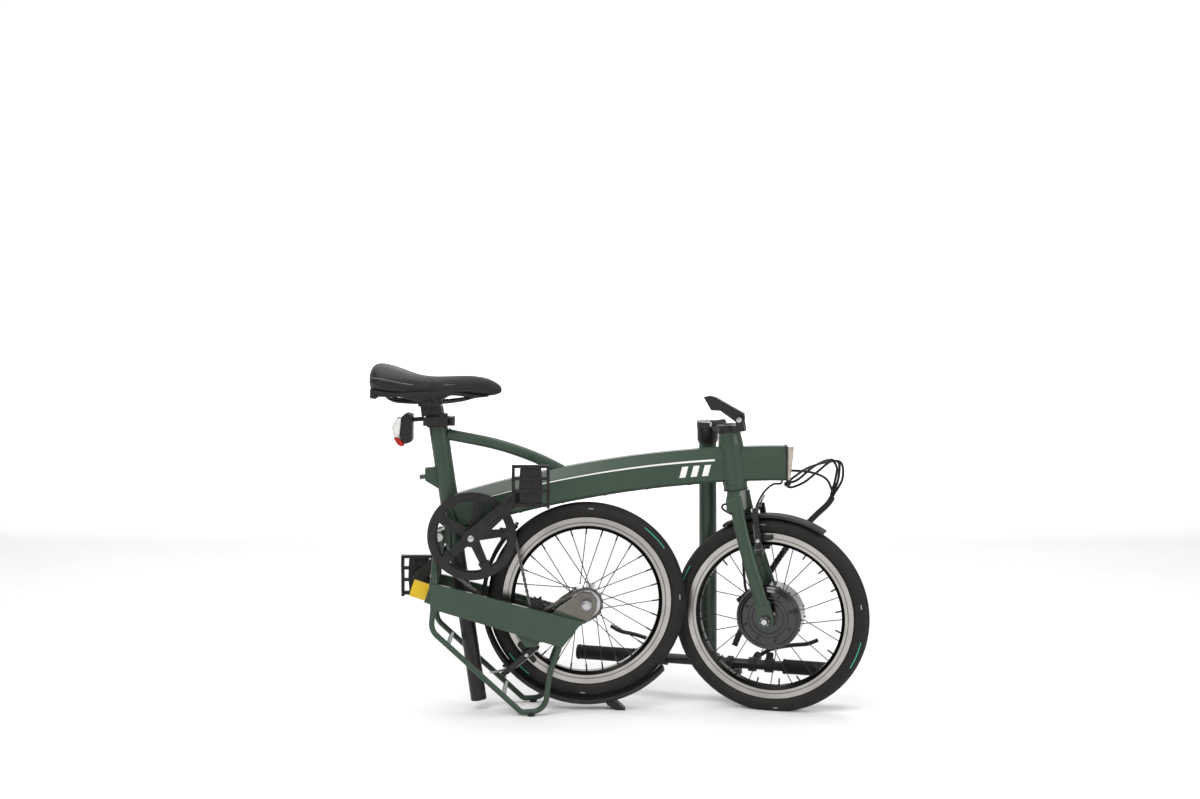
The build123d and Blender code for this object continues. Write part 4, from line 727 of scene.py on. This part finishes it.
CRANK_ANGLE = radians(41.7)
crank_bolts = Mesh()
for number in range(5):
    angle = CRANK_ANGLE + radians(36 + 72 * number)
    spot = BB + Vector((cos(angle) * 66, -54.6, sin(angle) * 66)) * 0.001
    crank_bolts.disc(spot, -Y, 0.0050, 0.0018, 6, 0.0002)
crank_bolts.make("crank_bolts", "crankset", "black_metal", smooth=False)
axle_bolts = Mesh()
axle_bolts.disc(BB - Y * 0.0860, -Y, 0.0068, 0.0022, 24, 0.0008)
axle_bolts.disc(BB + Y * 0.0860, Y, 0.0068, 0.0022, 24, 0.0008)
axle_bolts.make("crank_axle_bolts", "crankset", "bright_steel")
crank_out = Vector((cos(CRANK_ANGLE), 0, sin(CRANK_ANGLE)))
crank_side = Vector((-sin(CRANK_ANGLE), 0, cos(CRANK_ANGLE)))
grooves = Mesh()
for side in (-1, 1):
    ends = [BB - crank_out * side * 0.001 * d for d in (38, 138)]
    lip = Y * side * 0.0858
    for offset in (-6.5, 6.5):
        a, b = (e + lip + crank_side * offset * 0.001 for e in ends)
        grooves.tube([a, (a + b) / 2, b], 0.0013, 8)
grooves.make("crank_ridges", "crankset", "black_metal")

# ---- pedals -------------------------------------------------------------------------------------

for side, name in ((-1, "right"), (1, "left")):
    low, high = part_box(f"{name}_pedal_cage")
    teeth = Mesh()
    for x in (low.x + 0.003, high.x - 0.003):
        for k in range(11):
            z = low.z + 0.004 + k * (high.z - low.z - 0.008) / 10
            for y, way in ((low.y, -1), (high.y, 1)):
                teeth.disc(Vector((x, y, z)), Y * way, 0.0017, 0.0014, 8, 0.0006)
    outer_face = low.y + 0.002 if side < 0 else high.y - 0.002
    for k in range(7):
        x = low.x + 0.01 + k * (high.x - low.x - 0.02) / 6
        teeth.disc(Vector((x, outer_face, high.z - 0.003)), Y * side, 0.0017, 0.0022, 8, 0.0006)
    teeth.make(f"{name}_pedal_pins", f"{name}_pedal_cage", "black_plastic")
    web = Mesh()
    middle = (low.x + high.x) / 2
    near, far = (low.y + 0.0045, low.y + 0.0115) if side < 0 else (high.y - 0.0115, high.y - 0.0045)
    outline = [
        (-22, 9), (-17, 5), (17, 5), (22, 9), (24, 46), (22, 82), (17, 86), (-17, 86), (-22, 82), (-24, 46),
    ]
    web.prism([Vector((middle + x * 0.001, near, low.z + z * 0.001)) for x, z in outline], Y * (far - near))
    for k in range(6):
        z = low.z + 0.012 + k * 0.0135
        for y in (near, far):
            rib = [(middle - 0.019, y, z), (middle, y, z + 0.0006), (middle + 0.019, y, z)]
            web.tube([Vector(point) for point in rib], 0.0016, 8)
    web.make(f"{name}_pedal_web", f"{name}_pedal_cage", "black_plastic", bevel=0.0008, smooth=False)
    reflector = Mesh()
    for z in (low.z + 0.010, low.z + 0.052):
        corners = ((-0.005, 0), (0.005, 0), (0.005, 0.022), (-0.005, 0.022))
        reflector.prism([Vector((low.x - 0.0006, (low.y + high.y) / 2 + y, z + up)) for y, up in corners],
                        X * 0.0012)
    reflector.make(f"{name}_pedal_reflectors", f"{name}_pedal_cage", "black_metal", bevel=0.0004)

# ---- saddle -------------------------------------------------------------------------------------

SADDLE = [  # x, top height, edge height, bottom height, half width
    (-485.5, 728, 715, 701, 34),
    (-481, 744, 714, 692, 60),
    (-470, 750.5, 713, 688, 74),
    (-452, 748, 711, 685, 81),
    (-430, 741.5, 707, 681, 81.5),
    (-405, 732, 703, 674, 70),
    (-385, 725.5, 700, 665, 52),
    (-362, 722, 698, 660, 38),
    (-342, 722, 698, 664, 33),
    (-320, 722.5, 699, 682, 30.5),
    (-290, 724.5, 699, 686.5, 25),
    (-265, 723.5, 698, 684, 21.5),
    (-245, 720, 697, 681, 19),
    (-228, 713.5, 695, 680, 16),
    (-214, 705, 692, 684.5, 11),
    (-208, 697.5, 692, 688, 5),
]


def saddle_cover():
    """The saddle's crowned cover, in cross-sections from tail to nose, with a shallow channel along it."""
    around_count = 36
    verts = []
    for x, top, edge, bottom, half in SADDLE:
        for k in range(around_count):
            angle = 2 * pi * k / around_count
            across, up = cos(angle), sin(angle)
            wide = half * (abs(across) ** 0.8) * (1 if across >= 0 else -1)
            if up >= 0:
                height = edge + (top - edge) * up ** 0.75
                channel = 3.2 * max(0.0, 1 - (wide / 9.0) ** 2) if -440 < x < -250 else 0.0
                height -= channel
            else:
                height = edge + (bottom - edge) * (-up) ** 0.6
                wide *= 0.96
            verts.append(mm(x, wide, height))
    faces = []
    for ring in range(len(SADDLE) - 1):
        for k in range(around_count):
            j = (k + 1) % around_count
            faces.append([ring * around_count + k, ring * around_count + j,
                          (ring + 1) * around_count + j, (ring + 1) * around_count + k])
    last = (len(SADDLE) - 1) * around_count
    faces += [list(range(around_count))[::-1], [last + k for k in range(around_count)]]
    cover = piece("saddle_cover", "seatpost", "saddle_cover", verts, faces, subdivide=2)
    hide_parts("saddle_pad")
    return cover


saddle_cover()
for side in (-1, 1):
    seam = Mesh()
    line = curve_through([mm(x + (3 if x < -480 else 0), side * (half - 1.2), edge + (top - edge) * 0.28)
                          for x, top, edge, bottom, half in SADDLE[1:-2]], 160)
    for a, b in zip(line[0::2], line[1::2]):
        seam.tube([a, (a + b) / 2, b], 0.00065, 6)
    hand = "right" if side < 0 else "left"
    seam.make(f"saddle_stitches_{hand}", "seatpost", "grey_stripe", slot="saddle_cover")
    piping = Mesh()
    rim = [mm(x, side * (half + 0.1), edge + 0.5) for x, top, edge, bottom, half in SADDLE[1:-1]]
    piping.tube(curve_through(rim, 90), 0.0013, 8)
    piping.make(f"saddle_piping_{'right' if side < 0 else 'left'}", "seatpost", "black_plastic")
clamp_bolt = Mesh()
for side in (-1, 1):
    clamp_bolt.disc(mm(-360, side * 30.2, 668.5), Y * side, 0.0068, 0.0045, 6, 0.0006)
    clamp_bolt.disc(mm(-360, side * 30.0, 668.5), Y * side, 0.0090, 0.0008, 20)
clamp_bolt.make("saddle_clamp_nuts", "seatpost", "black_metal", smooth=False)

# ---- frame: stripe, mark, welds -----------------------------------------------------------------

BEAM_X, BEAM_Z, BEAM_R = 380.8, 574.0 - 2367.0, 2367.0


def on_beam(x, depth, out, side):
    """A point on the beam's side: depth is measured down from the top face, out beyond the surface."""
    radius = BEAM_R - depth
    half = 22.0 if depth >= 22 else 13.0 + 9.0 * depth / 22.0
    return mm(x, side * (half + out), BEAM_Z + (radius ** 2 - (x - BEAM_X) ** 2) ** 0.5)


def beam_band(mesh, side, x_start, x_end, top, bottom, count=60):
    """A painted band on the beam's side; top and bottom are depths that may vary along it."""
    verts = []
    for i in range(count + 1):
        t = i / count
        x = x_start + (x_end - x_start) * t
        for depth in (top(t), bottom(t)):
            for out in (-0.15, 0.22):
                verts.append(on_beam(x, depth, out, side))
    mesh.add(verts, strip_faces(count))


BOX_FACES = [[0, 1, 3, 2], [4, 6, 7, 5], [0, 4, 5, 1], [2, 3, 7, 6], [1, 5, 7, 3], [0, 2, 6, 4]]
stripe = Mesh()
mark = Mesh()
for side in (-1, 1):
    beam_band(stripe, side, -236, 243, lambda t: 23.6 - 0.9 * t, lambda t: 25.2 + 1.6 * t)
    for number in range(3):
        start = 168 + number * 24
        verts = []
        for lean, depth in ((6, 34), (0, 57)):
            for width in (0, 13):
                for out in (-0.15, 0.22):
                    verts.append(on_beam(start + lean + width, depth, out, side))
        mark.add(verts, BOX_FACES)
stripe.make("beam_pinstripe", "frame", "white_paint", smooth=False)
mark.make("beam_mark", "frame", "white_paint", smooth=False)


def weld(name, body, points, size=0.0017, material="frame_green"):
    """A rippled bead of weld along a line of points."""
    bead = Mesh()
    bead.tube(points, size, 8, wobble=lambda i, k: 0.00035 * (1 if i % 2 else -1))
    bead.make(name, body, material)


def ring_points(centre, axis, radius, count=72):
    axis = axis.normalized()
    across = axis.orthogonal().normalized()
    side = axis.cross(across)
    points = []
    for k in range(count + 1):
        angle = 2 * pi * k / count
        points.append(centre + (across * cos(angle) + side * sin(angle)) * radius)
    return points


def beam_edge(x, spread=0.6):
    """The beam's outline at a place along it, from the bottom edge over the top to the other side."""
    depths = (72, 66, 55, 44, 33, 24, 16, 8, 2)
    right = [on_beam(x, depth, spread, -1) for depth in depths]
    left = [on_beam(x, depth, spread, 1) for depth in reversed(depths)]
    return right + [on_beam(x, -spread, 0, -1), on_beam(x, -spread, 0, 1)] + left


HEAD_WELD_LEAN = 0.0012
weld("weld_head_rear", "frame", curve_through(
    [point + X * HEAD_WELD_LEAN * abs(k - 9.5) for k, point in enumerate(beam_edge(256))], 120))
WELD_TURN = [2 * pi * k / 60 for k in range(61)]
weld("weld_stay_seat", "frame",
     [mm(-321.5 + 2 * cos(a), 12.4 * sin(a), 597.5 + 12.4 * cos(a)) for a in WELD_TURN])
weld("weld_pivot", "frame", ring_points(mm(-341.8, -24.2, 382.8), Y, 0.0103))
weld("weld_pivot_left", "frame", ring_points(mm(-341.8, 24.2, 382.8), Y, 0.0103))
for side in (-1, 1):
    weld(f"weld_crown_{'right' if side < 0 else 'left'}", "fork",
         [at_steer(8 + 14.6 * cos(a), side * 41 + 8.4 * sin(a), -186) for a in WELD_TURN], 0.0012)
rings = Mesh()
for low, high, size in ((-16.6, -13.2, 24.6), (-141.6, -138.4, 26.2)):
    inner = size - 4
    profile = [(inner, low), (size, low), (size + 0.5, (low + high) / 2), (size, high), (inner, high)]
    rings.lathe([(r * 0.001, up * 0.001) for r, up in profile],
                Vector(JOINT["steering"]["pos_m"]), STEER_UP, STEER_AHEAD, 72)
rings.make("headset_seals", "fork", "black_metal")

# ---- lights -------------------------------------------------------------------------------------

def side_block(mesh, outline, y_low, y_high):
    mesh.prism([mm(x, y_low, z) for x, z in outline], Y * (y_high - y_low) * 0.001)


rear_body = Mesh()
outline = [(-397, 641), (-411, 644), (-419, 638), (-424, 592), (-412, 579), (-398, 584)]
side_block(rear_body, outline, -23, 23)
side_block(rear_body, [(-398, 625), (-398, 634), (-372, 636), (-371, 627)], -7, 7)
light = rear_body.make("rear_light_body", "frame", "black_plastic", bevel=0.003, smooth=False)
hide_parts("rear_light")
clear = Mesh()
side_block(clear, [(-419.6, 637), (-431, 632), (-440, 616), (-438, 596), (-424.5, 592.5)], -20, 20)
clear.make("rear_light_clear_lens", "frame", "lamp_lens", bevel=0.003, smooth=False)
red = Mesh()
side_block(red, [(-424.6, 591), (-438, 594), (-430, 578), (-420, 573), (-412.5, 577.5)], -20, 20)
red.make("rear_light_red_lens", "frame", "red_lens", bevel=0.0025, smooth=False, slot="lamp_lens")
flutes = Mesh()
for k in range(9):
    y = -16 + k * 4
    flutes.tube([mm(-428, y, 634.6), mm(-439.6, y, 616), mm(-437.6, y, 597)], 0.0009, 8)
flutes.make("rear_light_flutes", "frame", "lamp_lens")
CUP = [(0.0005, 0.0), (0.004, 0.001), (0.0078, 0.0060), (0.0074, 0.0064), (0.0036, 0.0018), (0.0005, 0.0008)]
reflector = Mesh()
for z in (520, 538, 556):
    for y in (-9, 9):
        spot = mm(394.6, y, z)
        reflector.lathe(CUP, spot, X, Y, 24)
reflector.make("headlight_reflectors", "frame", "alloy")
lens = Mesh()
side_block(lens, [(394.2, 501), (394.2, 574), (411, 573), (409, 548), (403.5, 503)], -19.5, 19.5)
for z in (513, 525, 537, 549, 561):
    lens.tube([mm(395.0 + (z - 503) * 0.11 + 7.6, y, z) for y in (-18, 0, 18)], 0.0012, 8)
fluted = lens.make("headlight_lens_fluted", "frame", "headlight_glass", bevel=0.0022, smooth=False,
                   slot="lamp_lens")
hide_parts("headlight_lens")
bezel = Mesh()
outline = [(393.6, 500.8), (393.6, 574.2), (398, 574.2), (398, 500.8)]
for y in (-21.4, 19.4):
    side_block(bezel, outline, y, y + 2)
side_block(bezel, [(393.6, 500.6), (398, 500.6), (398, 502.6), (393.6, 502.6)], -21, 21)
side_block(bezel, [(393.6, 572.8), (398, 572.8), (398, 574.6), (393.6, 574.6)], -14, 14)
bezel.make("headlight_bezel", "frame", "black_plastic", bevel=0.0006, smooth=False)

# ---- grips, bar details -------------------------------------------------------------------------

for side in (-1, 1):
    profile = [(11.3, 168), (15.2, 168), (16.6, 169.5), (16.6, 173), (15.2, 174.5)]
    for k in range(28):
        y = 176 + k * 4.15
        profile += [(15.1, y), (15.9, y + 0.7), (15.9, y + 2.6), (15.1, y + 3.3)]
    profile += [(15.4, 294), (16.8, 296), (16.8, 300), (15.6, 301.4)]
    profile += [(6, 301.6), (1, 301.6), (1, 299), (11.3, 298.6)]
    grip = Mesh()
    profile = [(r * 0.001, side * y * 0.001) for r, y in profile]
    grip.lathe(profile, at_post(0, 0, 536), POST_LEFT, POST_AHEAD, 40)
    made = grip.make(f"grip_{'right' if side < 0 else 'left'}", "handlepost", "grip_rubber")
    if side > 0:
        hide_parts("grips")
screen = Mesh()
screen.prism([at_post(4 + x, 50 + y, 562.2) for x, y in ((-14, -20), (14, -20), (14, 20), (-14, 20))],
             POST_UP * 0.0006)
screen.make("display_screen", "handlepost", "screen", bevel=0.0004)
clamp = Mesh()
for y in (-16, 16):
    for z in (-12, 12):
        clamp.disc(at_post(18.4, y, 536 + z), POST_AHEAD, 0.0035, 0.0035, 12, 0.0006)
clamp.make("bar_clamp_bolts", "handlepost", "bright_steel")
band = Mesh()
profile = [(20.5, 13), (22.2, 13.5), (22.6, 20), (22.6, 40), (21.8, 43.5), (20.5, 44)]
band.lathe([(r * 0.001, up * 0.001) for r, up in profile], at_post(0, 0, 0), POST_UP, POST_AHEAD, 64)
band.make("handlepost_collar", "handlepost", "black_metal")

# ---- brakes: noodle, boot, wires, springs, pad bolts --------------------------------------------

REAR_BRAKE_AT = radians(221)
REAR_OUT = Vector((cos(REAR_BRAKE_AT), 0, sin(REAR_BRAKE_AT)))
REAR_ALONG = Vector((-sin(REAR_BRAKE_AT), 0, cos(REAR_BRAKE_AT)))
for wheel, out, along, left, centre in (
    ("rear", REAR_OUT, REAR_ALONG, Y, REAR_AXLE),
    ("front", STEER_UP, -STEER_AHEAD, STEER_LEFT, FRONT_AXLE),
):
    def spot(radius, y, ahead=0.0):
        return centre + (out * radius + left * y + along * ahead) * 0.001

    noodle = Mesh()
    bend = [spot(233, 25), spot(234, 14), spot(239, 3, -3), spot(249, -5, -10), spot(260, -8, -18)]
    noodle.tube(curve_through(bend, 40), 0.0023, 10)
    noodle.tube([spot(233, 24), spot(233, 0), spot(233, -20)], 0.0008, 8)
    noodle.make(f"{wheel}_brake_noodle", f"{wheel}_brake_arm_left", "bright_steel")
    boot = Mesh()
    boot.tube([spot(233, y) for y in range(-24, -4, 1)], 0.0036, 12,
              wobble=lambda i, k: 0.0009 if i % 4 < 2 else -0.0004)
    boot.make(f"{wheel}_brake_boot", f"{wheel}_brake_arm_right", "cable_black")
    for side, name in ((-1, "right"), (1, "left")):
        metal = Mesh()
        metal.disc(spot(146, side * 37, -6.2), -along, 0.0060, 0.0001, 6)
        metal.disc(spot(146, side * 37, 6.0), along, 0.0058, 0.0030, 6, 0.0008)
        metal.disc(spot(169.5, side * 40.5), left * side, 0.0050, 0.0045, 6, 0.0006)
        metal.disc(spot(233, side * 36, 5.6), along, 0.0042, 0.0032, 6, 0.0006)
        metal.make(f"{wheel}_brake_bolts_{name}", f"{wheel}_brake_arm_{name}", "bright_steel", smooth=False)
        spring = Mesh()
        wire = ((146, 33, 7.4), (165, 34, 8.0), (196, 37.5, 7.2), (204, 41, 6.6))
        wire = [spot(radius, side * y, step) for radius, y, step in wire]
        spring.tube(curve_through(wire, 30), 0.0009, 8)
        spring.make(f"{wheel}_brake_spring_{name}", f"{wheel}_brake_arm_{name}", "bright_steel")
        holder = Mesh()
        for way in (-1, 1):
            holder.disc(spot(169.5, side * 20.0, way * 24), along * way, 0.0046, 0.0022, 8, 0.0008)
        holder.make(f"{wheel}_pad_ends_{name}", f"{wheel}_brake_arm_{name}", "black_plastic")

# ---- cables -------------------------------------------------------------------------------------

CAMERA_AWAY = 3952
CAMERA_HEIGHT = 1018


def seen(y, *places):
    """Points at a distance to the left, for places given as they appear beside the midplane."""
    depth = 1 + y / CAMERA_AWAY
    return [mm(x * depth, y, CAMERA_HEIGHT - (CAMERA_HEIGHT - z) * depth) for x, z in places]


LOOPS = (  # the start of each, then its points as the distance to the left and the place seen
    ((393, -8, 492), (-8, 418, 510), (0, 446, 527.5), (24, 495, 541), (36, 515, 534), (48, 516, 501),
     (58, 498, 468)),
    ((394, 4, 490), (4, 408, 484.5), (10, 436, 496), (16, 462, 517), (28, 492, 540), (40, 509, 535),
     (50, 507, 499), (60, 495, 470)),
    ((400, 12, 519), (14, 434, 519), (26, 462, 513), (42, 485, 499), (60, 496, 470)),
    ((394, 12, 491), (14, 420, 500), (20, 455, 529), (30, 488, 543), (42, 504, 528), (52, 500, 496),
     (62, 493, 470)),
)
loops = Mesh()
for start, *places in LOOPS:
    route = [mm(*start)] + [seen(y, (x, z))[0] for y, x, z in places]
    loops.tube(curve_through(route + [mm(502, 60, 449)], 90), 0.0028, 10)
loops.tube(curve_through(seen(20, (486, 537), (491, 545), (498, 542), (499, 535)), 16), 0.0016, 8)
front_loops = loops.make("front_cable_loops", None, "cable_black")
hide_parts("front_cables")
tuple(mm(404, 0, 492))
tuple(mm(502, 58, 462))
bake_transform(front_loops)
brake_lead = Mesh()
route = ((388, -6, 506), (385, -7, 494), (368, -9, 492), (350, -14, 478), (336, -20, 456), (327, -25, 432))
brake_lead.tube(curve_through([mm(*point) for point in route], 60), 0.0024, 10)
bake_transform(brake_lead.make("front_brake_lead", None, "cable_black"), "frame", "fork",
         start=tuple(mm(380, -6, 495)), end=tuple(mm(330, -24, 440)))
fork_loop = Mesh()
route = seen(-22, (296, 424), (280, 427), (262, 438), (262, 446), (270, 448), (281, 441), (296, 432))
fork_loop.tube(curve_through(route, 50), 0.0024, 10)
fork_loop.make("fork_cable_loop", "fork", "cable_black")
sleeve = Mesh()
route = ((504, 60, 456), (492, 62, 438), (462, 66, 408), (414, 76, 352), (372, 92, 284), (330, 104, 200),
         (296, 100, 120))
route = curve_through([mm(*point) for point in route], 300)
sleeve.tube(route, 0.0064, 12, taper=lambda t: 1.0 if t > 0.02 else 0.86,
            wobble=lambda i, k: 0.0006 if (i * 2 + k) % 12 < 7 else -0.0002)
wrap = sleeve.make("cable_spiral_wrap", None, "cable_black")
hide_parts("cable_sleeve")
tuple(mm(504, 60, 456))
tuple(mm(296, 100, 120))
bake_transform(wrap)
ferrules = Mesh()
for a, b in (((398, -9, 490), (405, -8.5, 494)), ((397, 9, 490), (403, 10, 497))):
    line = mm(*b) - mm(*a)
    ferrules.tube([mm(*a) - line * 0.4, mm(*a), mm(*b)], 0.0036, 12)
ferrules.make("cable_ferrules", "frame", "black_metal")
clips = Mesh()
for x in (190, 100, 10, -80, -170):
    radius = 2367.0 - 73.0 - 3.2
    z = BEAM_Z + (radius ** 2 - (x - BEAM_X) ** 2) ** 0.5
    profile = [(0.0021, -0.0035), (0.0032, -0.0035), (0.0032, 0.0035), (0.0021, 0.0035)]
    clips.lathe(profile, mm(x, 14, z), X, Y, 20)
clips.make("cable_clips", "frame", "black_plastic")

# ---- levers, seat clamp, hinge ------------------------------------------------------------------

screws = Mesh()
pivot = Vector(JOINT["seat_clamp_release"]["pos_m"])
screws.disc(pivot + Vector((0, 0, 0.009)), Vector((0, 0, 1)), 0.0042, 0.0014, 16, 0.0006)
screws.make("seat_clamp_pin_head", "frame", "bright_steel")
hinge_ends = Mesh()
hinge_axis = Vector(JOINT["handlepost_fold"]["axis"]).normalized()
hinge_point = Vector(JOINT["handlepost_fold"]["pos_m"])
for way in (-1, 1):
    hinge_ends.disc(hinge_point + hinge_axis * way * 0.0172, hinge_axis * way, 0.0052, 0.0018, 16, 0.0008)
hinge_ends.make("hinge_pin_heads", "fork", "bright_steel")
lever_head = Mesh()
lever_head.disc(at_steer(34, -41, 11), -STEER_LEFT, 0.0060, 0.0030, 6, 0.0006)
lever_head.make("hinge_lever_bolt", "fork", "bright_steel", smooth=False)
pivot_heads = Mesh()
for way in (-1, 1):
    pivot_heads.disc(mm(-341.8, way * 40.7, 382.8), Y * way, 0.0055, 0.0008, 6)
pivot_heads.make("rear_pivot_heads", "rear_frame", "bright_steel", smooth=False)

# ---- stage, light, camera -----------------------------------------------------------------------

floor_mesh = bpy.data.meshes.new("floor")
reach = 12.0
curve = [(-4.0, 0.0), (3.0, 0.0), (4.2, 0.12), (5.0, 0.6), (5.4, 1.6), (5.5, 7.0)]
floor_verts = [(x, y, z) for y, z in curve for x in (-reach, reach)]
floor_faces = [[2 * i, 2 * i + 1, 2 * i + 3, 2 * i + 2] for i in range(len(curve) - 1)]
floor_mesh.from_pydata(floor_verts, [], floor_faces)
floor = bpy.data.objects.new("floor", floor_mesh)
bpy.context.scene.collection.objects.link(floor)
floor_mesh.shade_smooth()
paper = finish_material("floor_paper", (0.90, 0.90, 0.90), (0.93, 0.93, 0.93), (0.7, 0.85), 0, 3.0, 0.02)
floor_mesh.materials.append(paper)
smooth = floor.modifiers.new("smooth", "SUBSURF")
smooth.levels = 3
smooth.render_levels = 3


def lamp(name, place, target, size, power):
    light = bpy.data.lights.new(name, "AREA")
    light.shape = "RECTANGLE"
    light.size, light.size_y = size
    light.energy = power
    made = bpy.data.objects.new(name, light)
    made.location = place
    made.rotation_euler = (Vector(target) - Vector(place)).to_track_quat("-Z", "Y").to_euler()
    bpy.context.scene.collection.objects.link(made)


lamp("key", (-1.6, -2.6, 3.2), (0, 0, 0.3), (2.4, 2.0), 95)
lamp("fill", (2.8, -2.2, 1.8), (0, 0, 0.3), (2.0, 2.0), 45)
lamp("top", (0, 0.6, 3.6), (0, 0, 0.2), (3.2, 2.6), 70)
lamp("back", (0, 2.6, 2.2), (0, 5.0, 1.6), (5.0, 1.6), 120)
world = bpy.data.worlds.new("studio")
bpy.context.scene.world = world
world.use_nodes = True
world.node_tree.nodes["Background"].inputs["Color"].default_value = (1, 1, 1, 1)
world.node_tree.nodes["Background"].inputs["Strength"].default_value = 0.42
bpy.context.scene.view_settings.view_transform = "Standard"

camera_data = bpy.data.cameras.new("camera")
camera_data.sensor_width = 36.0
camera_data.lens = 56.07
camera = bpy.data.objects.new("camera", camera_data)
camera.location = mm(0, -CAMERA_AWAY, CAMERA_HEIGHT)
camera.rotation_euler = (radians(85), 0, 0)
bpy.context.scene.collection.objects.link(camera)
bpy.context.scene.camera = camera
